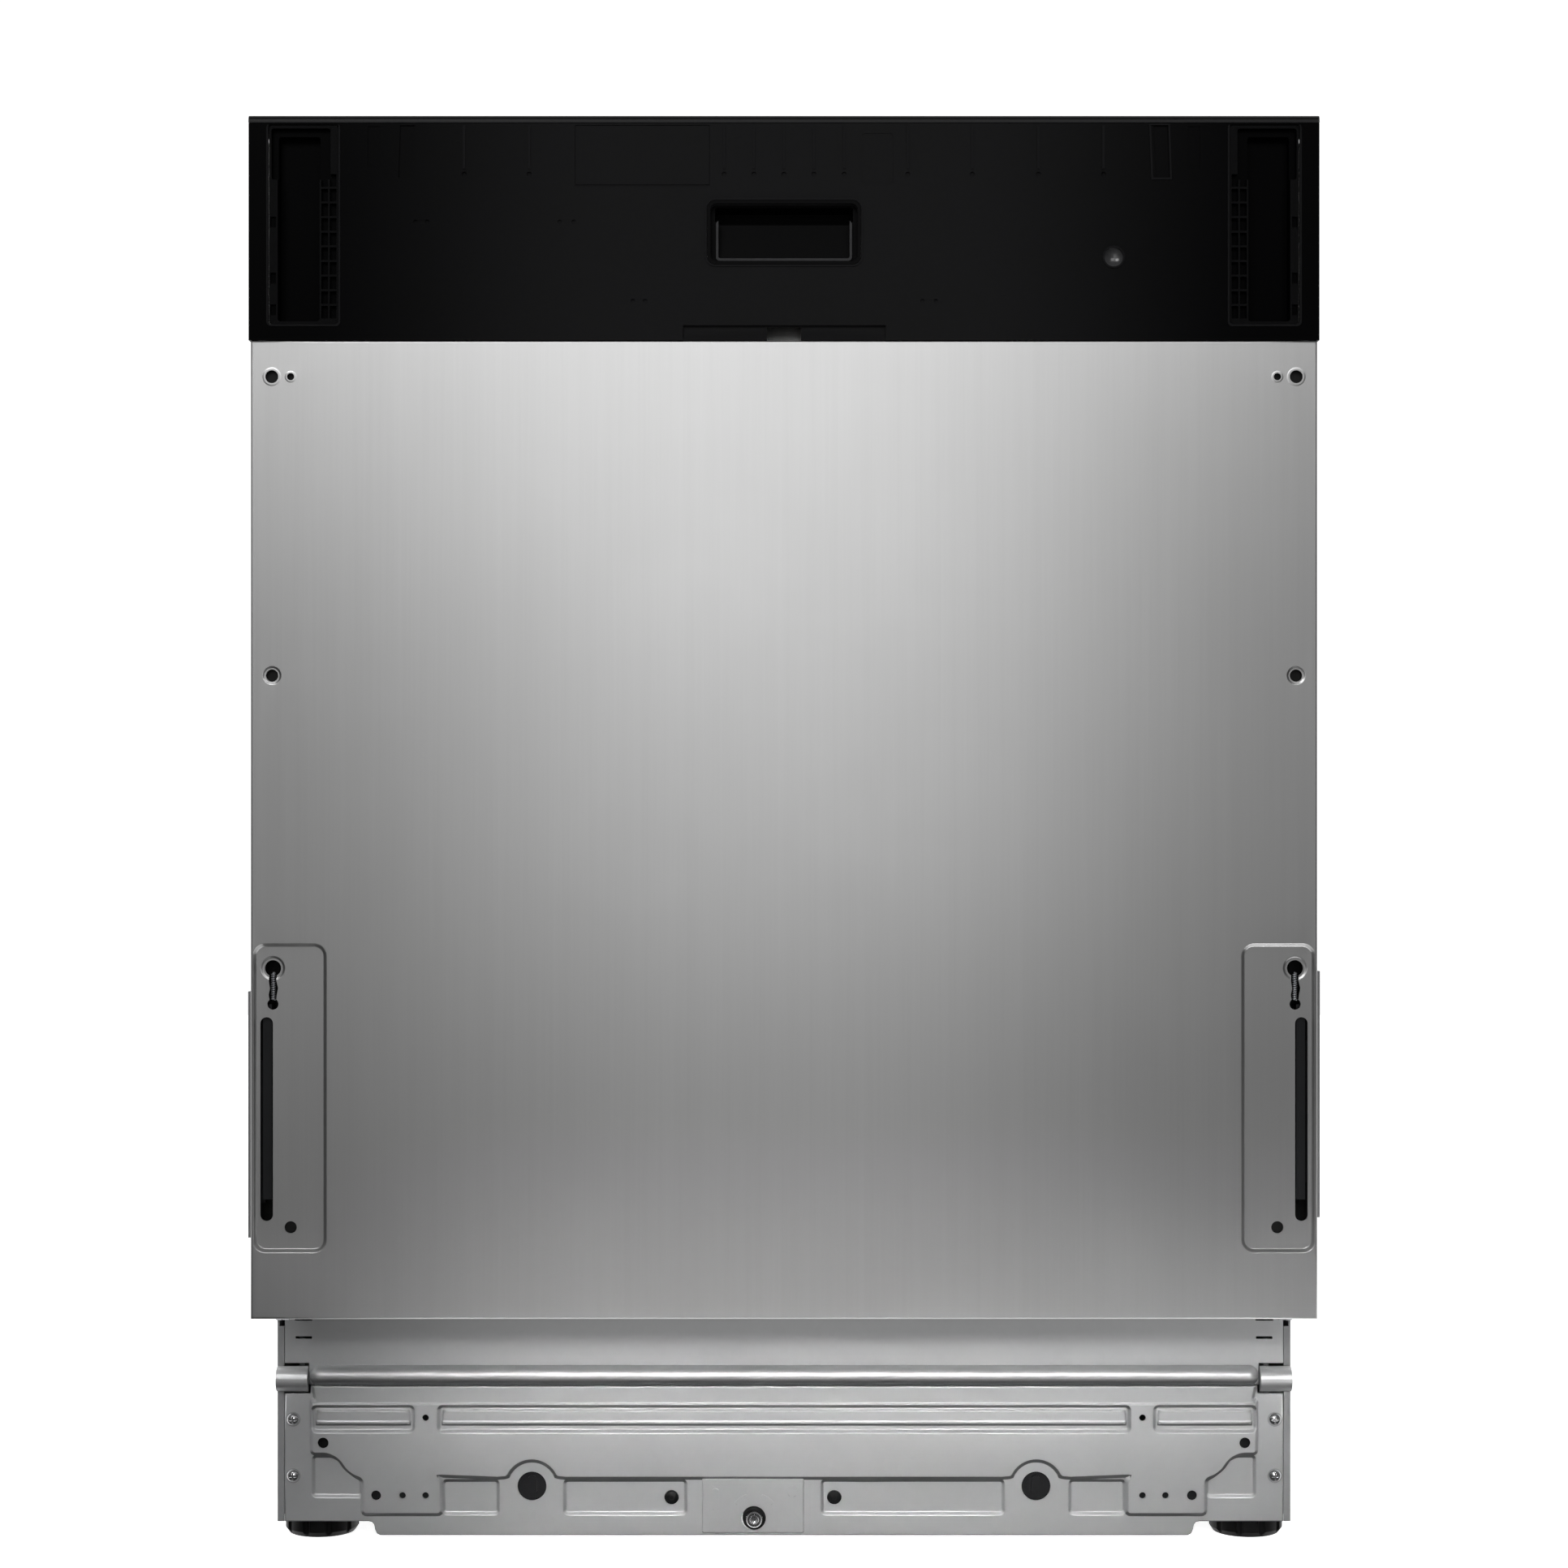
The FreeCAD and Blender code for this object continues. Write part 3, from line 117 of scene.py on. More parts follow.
def addf(nt, a, b, op="ADD"):
    m = nt.nodes.new("ShaderNodeMath")
    m.operation = op
    for i, v in enumerate((a, b)):
        if isinstance(v, (int, float)):
            m.inputs[i].default_value = v
        else:
            nt.links.new(v, m.inputs[i])
    return m.outputs[0]


def bump(nt, bsdf, fac, strength, dist):
    bn = nt.nodes.new("ShaderNodeBump")
    bn.inputs["Strength"].default_value = strength
    bn.inputs["Distance"].default_value = dist
    nt.links.new(fac, bn.inputs["Height"])
    nt.links.new(bn.outputs["Normal"], bsdf.inputs["Normal"])


def brushed(name, c0, c1, r0, r1, along="X", streak=900.0, spec=0.5, strength=0.06, aniso=0.0):
    """Rolled or brushed sheet: long streaks one way, slow tone drift, faint handling marks."""
    m, nt, b = new_mat(name)
    s = {"X": (0.012, 1, 1), "Z": (1, 1, 0.012), "Y": (1, 0.012, 1)}[along]
    v = coords(nt, s)
    v2 = coords(nt)
    st = noise(nt, v, streak, 4.0, 0.6)
    st2 = noise(nt, v, streak * 0.23, 3.0, 0.5)
    slow = noise(nt, v2, 3.0, 2.0, 0.5)
    smudge = noise(nt, v2, 14.0, 5.0, 0.62, 0.6)
    mixed = addf(nt, addf(nt, st, st2), 0.5, "MULTIPLY")
    base = colour(nt, mixed, c0, c1, 0.32, 0.68)
    drift = colour(nt, slow, (0.955, 0.955, 0.955), (1.0, 1.0, 1.0))
    base = mixc(nt, base, drift, 1.0, "MULTIPLY")
    nt.links.new(base, b.inputs["Base Color"])
    rr = addf(nt, remap(nt, smudge, r0, r1, 0.3, 0.7), remap(nt, st, -0.018, 0.018), "ADD")
    nt.links.new(rr, b.inputs["Roughness"])
    b.inputs["Metallic"].default_value = 1.0
    b.inputs["Anisotropic"].default_value = aniso
    bump(nt, b, st, strength, 0.00002)
    return m


def zinc(name, c0, c1, metallic, r0, r1, painted_slope_light=0.0):
    """Hot dipped sheet: soft crystal patches, fine grain and rolling lines."""
    m, nt, b = new_mat(name)
    v = coords(nt)
    w = nt.nodes.new("ShaderNodeTexVoronoi")
    w.feature = "F1"
    w.inputs["Scale"].default_value = 210.0
    w.inputs["Randomness"].default_value = 1.0
    nt.links.new(v, w.inputs["Vector"])
    sp = nt.nodes.new("ShaderNodeSeparateColor")
    nt.links.new(w.outputs["Color"], sp.inputs[0])
    cell = sp.outputs[0]
    fine = noise(nt, v, 1500.0, 3.0, 0.6)
    slow = noise(nt, v, 9.0, 4.0, 0.6)
    mix = addf(nt, addf(nt, cell, 0.10, "MULTIPLY"), addf(nt, addf(nt, slow, 0.70, "MULTIPLY"), addf(nt, fine, 0.20, "MULTIPLY")))
    base = colour(nt, mix, c0, c1, 0.25, 0.75)
    if painted_slope_light:      # painted light and shade: the pressed walls that face up are painted brighter, as if lit from above, and those that face down are painted darker, as if in shade
        g = nt.nodes.new("ShaderNodeNewGeometry")
        sn = nt.nodes.new("ShaderNodeSeparateXYZ")
        nt.links.new(g.outputs["Normal"], sn.inputs[0])
        up = addf(nt, remap(nt, sn.outputs["Z"], 0.0, 1.0, 0.05, 0.42), painted_slope_light, "MULTIPLY")
        down = addf(nt, remap(nt, sn.outputs["Z"], 1.0, 0.0, -0.42, -0.05), painted_slope_light, "MULTIPLY")
        hi = colour(nt, mix, (0.90, 0.905, 0.91), (0.94, 0.945, 0.95), 0.25, 0.75)
        lo = colour(nt, mix, (0.14, 0.142, 0.145), (0.18, 0.182, 0.185), 0.25, 0.75)
        base = mixc(nt, mixc(nt, base, hi, up), lo, down)
    nt.links.new(base, b.inputs["Base Color"])
    nt.links.new(remap(nt, mix, r0, r1), b.inputs["Roughness"])
    b.inputs["Metallic"].default_value = metallic
    bump(nt, b, fine, 0.10, 0.00004)
    return m


def plastic(name, c0, c1, r0, r1, grain=2600.0, strength=0.18, dist=0.00006, coat=0.0, spec=0.5):
    """Moulded plastic: spark-eroded grain, slight flow tone, dust-dull patches."""
    m, nt, b = new_mat(name)
    v = coords(nt)
    g = noise(nt, v, grain, 2.0, 0.5)
    slow = noise(nt, v, 11.0, 4.0, 0.6)
    fine = noise(nt, v, 260.0, 3.0, 0.55)
    mix = addf(nt, addf(nt, slow, 0.7, "MULTIPLY"), addf(nt, fine, 0.3, "MULTIPLY"))
    nt.links.new(colour(nt, mix, c0, c1), b.inputs["Base Color"])
    nt.links.new(remap(nt, mix, r0, r1), b.inputs["Roughness"])
    b.inputs["Specular IOR Level"].default_value = spec
    b.inputs["Coat Weight"].default_value = coat
    b.inputs["Coat Roughness"].default_value = 0.08
    if strength:
        bump(nt, b, g, strength, dist)
    return m


def black_with_painted_sheen(name, c0, c1, edge, bands, mid, spec=0.02):
    """Dull black moulding with painted highlights: its raised ribs and borders are painted lighter where they would
    catch the light, and it is greyer by mid in its middle, a painted sheen.
    """
    m, nt, b = new_mat(name)
    v = coords(nt)
    g = noise(nt, v, 2600.0, 2.0, 0.5)
    slow = noise(nt, v, 11.0, 4.0, 0.6)
    fine = noise(nt, v, 260.0, 3.0, 0.55)
    mix = addf(nt, addf(nt, slow, 0.7, "MULTIPLY"), addf(nt, fine, 0.3, "MULTIPLY"))
    sep_ = nt.nodes.new("ShaderNodeSeparateXYZ")
    nt.links.new(v, sep_.inputs[0])
    mask = None
    for y0, y1, a0, a1 in bands:
        k = remap(nt, sep_.outputs["Y"], a0, a1, y0, y1)
        mask = k if mask is None else addf(nt, mask, k, "MULTIPLY")
    # painted highlight: the raised ribs and borders picked out by the Y bands take the lighter colour
    painted_rib_highlight = addf(nt, mask, remap(nt, fine, 0.8, 1.0), "MULTIPLY")
    dark = colour(nt, mix, c0, c1)
    light = colour(nt, mix, tuple(0.85 * c for c in edge), edge)
    ax = nt.nodes.new("ShaderNodeMath")
    ax.operation = "ABSOLUTE"
    nt.links.new(sep_.outputs["X"], ax.inputs[0])
    # painted sheen: greyer towards the middle in X, fading to the dark colour towards the sides
    painted_centre_sheen = nt.nodes.new("ShaderNodeMapRange")
    painted_centre_sheen.interpolation_type = "SMOOTHSTEP"
    for key, val in (("From Min", 0.09), ("From Max", 0.275), ("To Min", 1.0), ("To Max", 0.0)):
        painted_centre_sheen.inputs[key].default_value = val
    nt.links.new(ax.outputs[0], painted_centre_sheen.inputs["Value"])
    dark = mixc(nt, dark, colour(nt, mix, tuple(0.9 * mid for c in c0), (mid, mid, 1.08 * mid)), painted_centre_sheen.outputs[0])
    nt.links.new(mixc(nt, dark, light, painted_rib_highlight), b.inputs["Base Color"])
    nt.links.new(remap(nt, mix, 0.34, 0.44), b.inputs["Roughness"])
    b.inputs["Specular IOR Level"].default_value = spec
    bump(nt, b, g, 0.12, 0.00006)
    return m


def slider_zinc(name, inner, outer):
    """Plated slide: bright where it shows beside the door, painted dark inside it, a painted shade where the door hides
    it.
    """
    m, nt, b = new_mat(name)
    v = coords(nt)
    sep_ = nt.nodes.new("ShaderNodeSeparateXYZ")
    nt.links.new(v, sep_.inputs[0])
    ax = nt.nodes.new("ShaderNodeMath")
    ax.operation = "ABSOLUTE"
    nt.links.new(sep_.outputs["X"], ax.inputs[0])
    # painted shade: inside |X| < 0.2966 m, within the door, the slide takes the dark colour
    k = remap(nt, ax.outputs[0], 0.0, 1.0, 0.2966, 0.2972)
    slow = noise(nt, v, 14.0, 4.0, 0.6)
    fine = noise(nt, v, 900.0, 3.0, 0.6)
    lo = colour(nt, slow, tuple(0.8 * c for c in inner), inner)
    hi = colour(nt, slow, tuple(0.88 * c for c in outer), outer)
    nt.links.new(mixc(nt, lo, hi, k), b.inputs["Base Color"])
    nt.links.new(addf(nt, remap(nt, slow, 0.36, 0.5), remap(nt, fine, -0.03, 0.03)), b.inputs["Roughness"])
    b.inputs["Metallic"].default_value = 0.7
    bump(nt, b, fine, 0.10, 0.00004)
    return m


def rubber(name, c0, c1):
    m, nt, b = new_mat(name)
    v = coords(nt)
    g = noise(nt, v, 1400.0, 2.0, 0.6)
    slow = noise(nt, v, 26.0, 4.0, 0.6)
    nt.links.new(colour(nt, slow, c0, c1), b.inputs["Base Color"])
    nt.links.new(remap(nt, slow, 0.55, 0.8), b.inputs["Roughness"])
    b.inputs["Sheen Weight"].default_value = 0.15
    b.inputs["Sheen Roughness"].default_value = 0.5
    bump(nt, b, g, 0.25, 0.00008)
    return m


def coated_wire(name, c0, c1):
    m, nt, b = new_mat(name)
    v = coords(nt)
    orange = noise(nt, v, 420.0, 2.0, 0.5)
    slow = noise(nt, v, 20.0, 3.0, 0.6)
    nt.links.new(colour(nt, slow, c0, c1), b.inputs["Base Color"])
    nt.links.new(remap(nt, slow, 0.26, 0.38), b.inputs["Roughness"])
    b.inputs["Coat Weight"].default_value = 0.25
    b.inputs["Coat Roughness"].default_value = 0.2
    bump(nt, b, orange, 0.15, 0.00015)
    return m


def mesh_sheet(name):
    """Perforated stainless: rows of fine round holes painted as dark wells, a painted shade in the holes."""
    m, nt, b = new_mat(name)
    v = coords(nt)
    w = nt.nodes.new("ShaderNodeTexVoronoi")
    w.feature = "F1"
    w.voronoi_dimensions = "2D"
    w.inputs["Scale"].default_value = 520.0
    w.inputs["Randomness"].default_value = 0.0
    nt.links.new(v, w.inputs["Vector"])
    # painted shade: the holes are painted near black and rougher
    hole = remap(nt, w.outputs["Distance"], 1.0, 0.0, 0.26, 0.32)
    base = colour(nt, hole, (0.62, 0.62, 0.62), (0.03, 0.03, 0.03), 0.3, 0.7)
    nt.links.new(base, b.inputs["Base Color"])
    nt.links.new(remap(nt, hole, 0.28, 0.8, 0.0, 1.0), b.inputs["Roughness"])
    b.inputs["Metallic"].default_value = 1.0
    inv = addf(nt, 1.0, hole, "SUBTRACT")
    bump(nt, b, inv, 0.6, 0.0003)
    return m


MAT = {
    "door_steel": brushed("door_satin_steel", (0.583, 0.583, 0.582), (0.609, 0.609, 0.608), 0.325, 0.345, "Z", 700.0, strength=0.022),
    "liner_steel": brushed("tub_bright_steel", (0.60, 0.60, 0.59), (0.68, 0.68, 0.67), 0.20, 0.29, "Z", 600.0, strength=0.04),
    "zinc_steel": zinc("zinc_sheet", (0.60, 0.605, 0.61), (0.67, 0.675, 0.68), 0.60, 0.38, 0.46),
    "hinge_steel": zinc("plated_strip", (0.34, 0.35, 0.37), (0.46, 0.47, 0.49), 0.85, 0.34, 0.48),
    "side_sheet": plastic("coated_side_sheet", (0.36, 0.365, 0.37), (0.42, 0.425, 0.43), 0.50, 0.62, 900.0, 0.12),
    # console and guide: painted highlights on their raised ribs and borders, and a painted sheen in their middle
    "console_black": black_with_painted_sheen("console_black", (0.0011, 0.0011, 0.0013), (0.0019, 0.0019, 0.0022), (0.017, 0.017, 0.018), ((-0.2749, -0.27452, 1.0, 0.0),), 0.0165),
    "guide_black": black_with_painted_sheen("guide_black", (0.0008, 0.0008, 0.0010), (0.0014, 0.0014, 0.0017), (0.0085, 0.0085, 0.0090), ((-0.27355, -0.27325, 1.0, 0.0),), 0.0012),
    "control_gloss": plastic("control_strip_gloss", (0.007, 0.007, 0.008), (0.011, 0.011, 0.012), 0.30, 0.38, 2600.0, 0.03, spec=0.16),
    "display_glass": plastic("display_tint", (0.006, 0.006, 0.007), (0.010, 0.010, 0.012), 0.05, 0.09, 2600.0, 0.0, coat=0.6),
    "lens_clear": plastic("status_lens", (0.05, 0.05, 0.052), (0.075, 0.075, 0.078), 0.18, 0.26, 1600.0, 0.05, coat=0.5),
    "button_grey": plastic("button_caps", (0.055, 0.055, 0.058), (0.075, 0.075, 0.078), 0.26, 0.34, 2600.0, 0.08),
    "base_plastic": plastic("base_moulding", (0.006, 0.006, 0.0065), (0.011, 0.011, 0.012), 0.46, 0.60, 1600.0, 0.25, spec=0.3),
    "foot_plastic": plastic("foot_moulding", (0.003, 0.003, 0.003), (0.006, 0.006, 0.006), 0.42, 0.56, 1400.0, 0.22, spec=0.25),
    "seal_rubber": rubber("seal_rubber", (0.018, 0.018, 0.019), (0.032, 0.032, 0.034)),
    "grey_plastic": plastic("grey_moulding", (0.24, 0.25, 0.27), (0.31, 0.32, 0.34), 0.34, 0.46, 1800.0, 0.16),
    "light_plastic": plastic("light_moulding", (0.50, 0.51, 0.52), (0.57, 0.58, 0.59), 0.32, 0.44, 1800.0, 0.14),
    "wire_grey": coated_wire("wire_coating", (0.34, 0.36, 0.39), (0.42, 0.44, 0.47)),
    "spindle_steel": brushed("plated_bolts", (0.62, 0.62, 0.63), (0.78, 0.78, 0.79), 0.16, 0.27, "Y", 1200.0, strength=0.05),
    "filter_mesh": mesh_sheet("filter_mesh"),
}
slot_of = {s["node"]: s["material_slot"] for s in frame["record"]["subparts"]}
for name, ob in N.items():
    ob.data.materials.clear()
    ob.data.materials.append(MAT[slot_of[name]])


# pocket: its U lip is painted light, a painted highlight, and its middle is greyer, a painted sheen
N["grip_pocket"].data.materials[0] = black_with_painted_sheen("pocket_black", (0.0010, 0.0010, 0.0012), (0.0018, 0.0018, 0.0021), (0.085, 0.085, 0.088),
                                                ((-0.2712, -0.2707, 0.0, 1.0), (-0.2703, -0.2699, 1.0, 0.0)), 0.0066)
# the slides are painted dark where the door hides them, a painted shade
for tag in ("left", "right"):
    N["panel_slider_" + tag].data.materials[0] = slider_zinc("panel_slide_" + tag, (0.030, 0.031, 0.033), (0.40, 0.405, 0.41))


# cross member and adjuster plate: zinc with painted light and shade on their up- and down-facing walls
N["front_cross_member"].data.materials[0] = zinc("zinc_cross_member", (0.60, 0.605, 0.61), (0.67, 0.675, 0.68), 0.60, 0.38, 0.46, painted_slope_light=0.9)
N["adjuster_plate"].data.materials[0] = zinc("zinc_adjuster_plate", (0.60, 0.605, 0.61), (0.67, 0.675, 0.68), 0.60, 0.38, 0.46, painted_slope_light=0.9)
# the front corners of the side panels get a brighter zinc, also with painted light and shade on their walls
for tag in ("left", "right"):
    me_ = N["side_panel_" + tag].data
    me_.materials.append(zinc("corner_zinc_" + tag, (0.74, 0.745, 0.75), (0.82, 0.825, 0.83), 0.45, 0.34, 0.42, painted_slope_light=0.6))
    for p in me_.polygons:
        c = p.center
        if c.y < -0.1768 and 0.080 < c.z < 0.112:
            p.material_index = 1


# ================================================================= pressed sheet metal
import numpy as np
from mathutils.geometry import delaunay_2d_cdt


def arc_pts(cx, cz, r, a0, a1, n):
    return [(cx + r * math.cos(math.radians(a0 + (a1 - a0) * i / n)), cz + r * math.sin(math.radians(a0 + (a1 - a0) * i / n))) for i in range(n + 1)]


def rrect(x0, x1, z0, z1, r, n=8):
    x0, x1 = sorted((x0, x1))
    return (arc_pts(x0 + r, z0 + r, r, 180, 270, n) + arc_pts(x1 - r, z0 + r, r, 270, 360, n) +
            arc_pts(x1 - r, z1 - r, r, 0, 90, n) + arc_pts(x0 + r, z1 - r, r, 90, 180, n))


def circle(cx, cz, r, n=28):
    return [(cx + r * math.cos(2 * math.pi * i / n), cz + r * math.sin(2 * math.pi * i / n)) for i in range(n)]


def flipx(poly):
    return [(-x, z) for x, z in poly][::-1]


def dense(poly, step):
    out = []
    for i, (ax, az) in enumerate(poly):
        bx, bz = poly[(i + 1) % len(poly)]
        L = math.hypot(bx - ax, bz - az)
        if L < 1e-9:
            continue
        k = max(1, int(math.ceil(L / step)))
        out += [(ax + (bx - ax) * j / k, az + (bz - az) * j / k) for j in range(k)]
    return out


def smooth_corners(poly, r, n=5):
    """Rounds each corner of a polygon to about radius r."""
    out = []
    m = len(poly)
    for i in range(m):
        p0, p1, p2 = (np.array(poly[j % m], float) for j in (i - 1, i, i + 1))
        a, c = p0 - p1, p2 - p1
        la, lc = np.linalg.norm(a), np.linalg.norm(c)
        d = min(r, la * 0.45, lc * 0.45)
        s, e = p1 + a / la * d, p1 + c / lc * d
        for k in range(n + 1):
            t = k / n
            q = (1 - t) ** 2 * s + 2 * t * (1 - t) * p1 + t * t * e
            out.append((float(q[0]), float(q[1])))
    return out


def signed(poly, P):
    """Signed distance of points P (n,2) to a closed polygon, negative inside."""
    A = np.array(poly, float)
    B = np.roll(A, -1, 0)
    d2 = np.full(len(P), 1e18)
    inside = np.zeros(len(P), bool)
    for a, b in zip(A, B):
        ab = b - a
        L = ab @ ab
        if L < 1e-12:
            continue
        ap = P - a
        t = np.clip((ap @ ab) / L, 0, 1)
        q = ap - t[:, None] * ab
        d2 = np.minimum(d2, (q * q).sum(1))
        cond = (a[1] > P[:, 1]) != (b[1] > P[:, 1])
        with np.errstate(divide="ignore", invalid="ignore"):
            xi = a[0] + (P[:, 1] - a[1]) * (b[0] - a[0]) / (b[1] - a[1] if b[1] != a[1] else 1e-12)
        inside ^= cond & (P[:, 0] < xi)
    d = np.sqrt(d2)
    return np.where(inside, -d, d)


def offset(poly, d):
    """Shifts a polygon's vertices outwards by d along their mean normals."""
    A = np.array(poly, float)
    prev, nxt = np.roll(A, 1, 0), np.roll(A, -1, 0)
    t = nxt - prev
    t /= np.maximum(np.linalg.norm(t, axis=1), 1e-9)[:, None]
    nrm = np.stack([t[:, 1], -t[:, 0]], 1)
    area = 0.5 * np.sum(A[:, 0] * nxt[:, 1] - nxt[:, 0] * A[:, 1])
    if area < 0:
        nrm = -nrm
    return [(float(x), float(z)) for x, z in A + nrm * d]


class Sheet:
    """A flat blank in the XZ plane with pressed levels, pierced holes and folded rims. Millimetres in, metres out."""

    def __init__(self, outline, y, thick):
        self.outline, self.y, self.t = outline, y, thick
        self.features, self.holes = [], []

    def press(self, poly, depth, width, profile="s"):
        """Inside poly the sheet moves back by depth (negative = forward) over a wall of that width."""
        self.features.append((poly, depth, width, profile))

    def pierce(self, poly, rim=None, lead=0.0):
        self.holes.append((poly, rim, lead))

    def level(self, P):
        h = np.zeros(len(P))
        for poly, depth, width, profile in self.features:
            A = np.array(poly)
            lo, hi = A.min(0) - width, A.max(0) + width
            sel = (P[:, 0] > lo[0]) & (P[:, 0] < hi[0]) & (P[:, 1] > lo[1]) & (P[:, 1] < hi[1])
            if not sel.any():
                continue
            s = signed(poly, P[sel])
            if profile == "s":
                u = np.clip(0.5 - s / width, 0, 1)
                u = u * u * (3 - 2 * u)
            else:  # a round bead: quarter circle wall
                u = np.clip(-s / width, 0, 1)
                u = np.sqrt(np.clip(1 - (1 - u) ** 2, 0, 1))
            h[sel] += depth * u
        return h

    def build(self, name, edge=0.0, rim=None, step=6.0, fine=0.9, skip=None):
        loops = [dense(self.outline, step)]
        kinds = [0]
        for poly, _, _ in self.holes:
            loops.append(dense(poly, 3.0))
            kinds.append(1)
        for poly, depth, width, profile in self.features:
            p = dense(poly, max(fine * 2, 1.6) if len(poly) > 60 else 4.0)
            steps = (-0.5, -0.3, -0.12, 0.12, 0.3, 0.5) if profile == "s" else (-1.0, -0.8, -0.6, -0.4, -0.22, -0.1, -0.03, 0.0)
            for k in steps:
                loops.append(offset(p, k * width))
                kinds.append(2)
        if edge:
            for k in (0.08, 0.3, 0.62, 1.0, 1.8):
                loops.append(offset(dense(self.outline, step), -edge * k))
                kinds.append(2)
        V, E = [], []
        for lp in loops:
            b = len(V)
            V += [Vector((x, z)) for x, z in lp]
            E += [(b + i, b + (i + 1) % len(lp)) for i in range(len(lp))]
        vo, eo, fo, _, _, _ = delaunay_2d_cdt(V, E, [], 0, 1e-4)
        P = np.array([(v.x, v.y) for v in vo])
        F = np.array([f for f in fo if len(f) == 3])
        C = P[F].mean(1)
        keep = signed(self.outline, C) < 0
        for poly, _, _ in self.holes:
            A = np.array(poly)
            lo, hi = A.min(0), A.max(0)
            near = keep & (C[:, 0] > lo[0]) & (C[:, 0] < hi[0]) & (C[:, 1] > lo[1]) & (C[:, 1] < hi[1])
            if near.any():
                idx = np.where(near)[0]
                keep[idx[signed(poly, C[idx]) < 0]] = False
        if skip is not None:
            keep &= ~skip(C)
        F = F[keep]
        used = np.unique(F)
        remap_ = -np.ones(len(P), int)
        remap_[used] = np.arange(len(used))
        P, F = P[used], remap_[F]
        a, b2, c = P[F[:, 0]], P[F[:, 1]], P[F[:, 2]]
        cr = (b2 - a)[:, 0] * (c - a)[:, 1] - (b2 - a)[:, 1] * (c - a)[:, 0]
        F = np.where((cr < 0)[:, None], F[:, ::-1], F)      # counter-clockwise seen from the front
        F = F[np.abs(cr) > 1e-7]
        H = self.level(P)
        so = -signed(self.outline, P)

        def edge_drop(s):
            if not edge:
                return 0 * s
            q = np.clip(1 - s / edge, 0, 1)
            return edge * (1 - np.sqrt(np.clip(1 - q * q, 0, 1)))

        def height(Q):
            return self.level(Q) + edge_drop(-signed(self.outline, Q))

        Y = self.y + H + edge_drop(so)
        d = 0.02
        gx = (height(P + [d, 0]) - height(P - [d, 0])) / (2 * d)
        gz = (height(P + [0, d]) - height(P - [0, d])) / (2 * d)
        on_edge = so < 1e-3
        if edge:
            r_ = edge * 0.5
            ox = (signed(self.outline, P + [r_, 0]) - signed(self.outline, P - [r_, 0])) / (2 * r_)
            oz = (signed(self.outline, P + [0, r_]) - signed(self.outline, P - [0, r_])) / (2 * r_)
            gx[on_edge] = 4.0 * ox[on_edge]
            gz[on_edge] = 4.0 * oz[on_edge]
        else:
            gx[on_edge] = 0
            gz[on_edge] = 0
        nrm = np.stack([gx, -np.ones(len(P)), gz], 1)
        nrm /= np.linalg.norm(nrm, axis=1)[:, None]
        front = np.stack([P[:, 0], Y, P[:, 1]], 1)
        n0 = len(front)
        back = front - nrm * self.t
        back[:, 1] = np.maximum(back[:, 1], front[:, 1] + self.t * 0.5)
        verts = [front, back]
        faces = [tuple(int(i) for i in f) for f in F]
        fn = [tuple(nrm[i] for i in f) for f in F]
        bf = [tuple(int(i) + n0 for i in f[::-1]) for f in F]
        bn = [tuple(-nrm[i] for i in f[::-1]) for f in F]
        # boundary loops
        cnt = {}
        for f in faces:
            for i in range(3):
                e = (f[i], f[(i + 1) % 3])
                cnt[e] = 1
        bound = [e for e in cnt if (e[1], e[0]) not in cnt]
        extra, rf, rn = [], [], []
        nb = 2 * n0
        cache = {}

        def deep(i, dist):
            nonlocal nb
            key = (i, round(dist, 3))
            if key not in cache:
                p = front[i].copy()
                p[1] = self.y + dist
                extra.append(p)
                cache[key] = nb
                nb += 1
            return cache[key]

        for i, j in bound:
            mid = (front[i] + front[j]) / 2
            t = front[j] - front[i]
            nn = np.array([t[2], 0, -t[0]])
            L = np.linalg.norm(nn)
            nn = nn / L if L > 1e-9 else np.array([0, -1, 0])
            dist = rim(mid[0], mid[2], nn) if rim else 0
            is_outer = abs(signed(self.outline, np.array([[mid[0], mid[2]]]))[0]) < 0.05
            if is_outer and dist:
                a_, b_ = deep(i, dist), deep(j, dist)
                rf.append((j, i, a_, b_))
                rn.append((nn,) * 4)
                # inside wall of the fold
                pa, pb = front[i] - nn * self.t, front[j] - nn * self.t
                base = nb
                for q, dd in ((pa, None), (pb, None), (pb, dist), (pa, dist)):
                    q = q.copy()
                    q[1] = self.y + (self.t * 0.98 if dd is None else dd)
                    extra.append(q)
                    nb += 1
                rf.append((base, base + 1, base + 2, base + 3))
                rn.append((-nn,) * 4)
                rf.append((b_, a_, base + 3, base + 2))
                rn.append((np.array([0, 1.0, 0]),) * 4)
            else:
                rf.append((j, i, i + n0, j + n0))
                rn.append((nn,) * 4)
        allv = np.vstack([front, back] + ([np.array(extra)] if extra else [])) * 0.001
        allf = faces + bf + rf
        alln = fn + bn + rn
        me = bpy.data.meshes.new(name)
        me.from_pydata([tuple(v) for v in allv], [], allf)
        me.update()
        for p in me.polygons:
            p.use_smooth = True
        loopn = [tuple(float(c) for c in n) for f in alln for n in f]
        if len(loopn) == len(me.loops):
            me.normals_split_custom_set(loopn)
        ob = bpy.data.objects.new(name, me)
        scene.collection.objects.link(ob)
        return ob
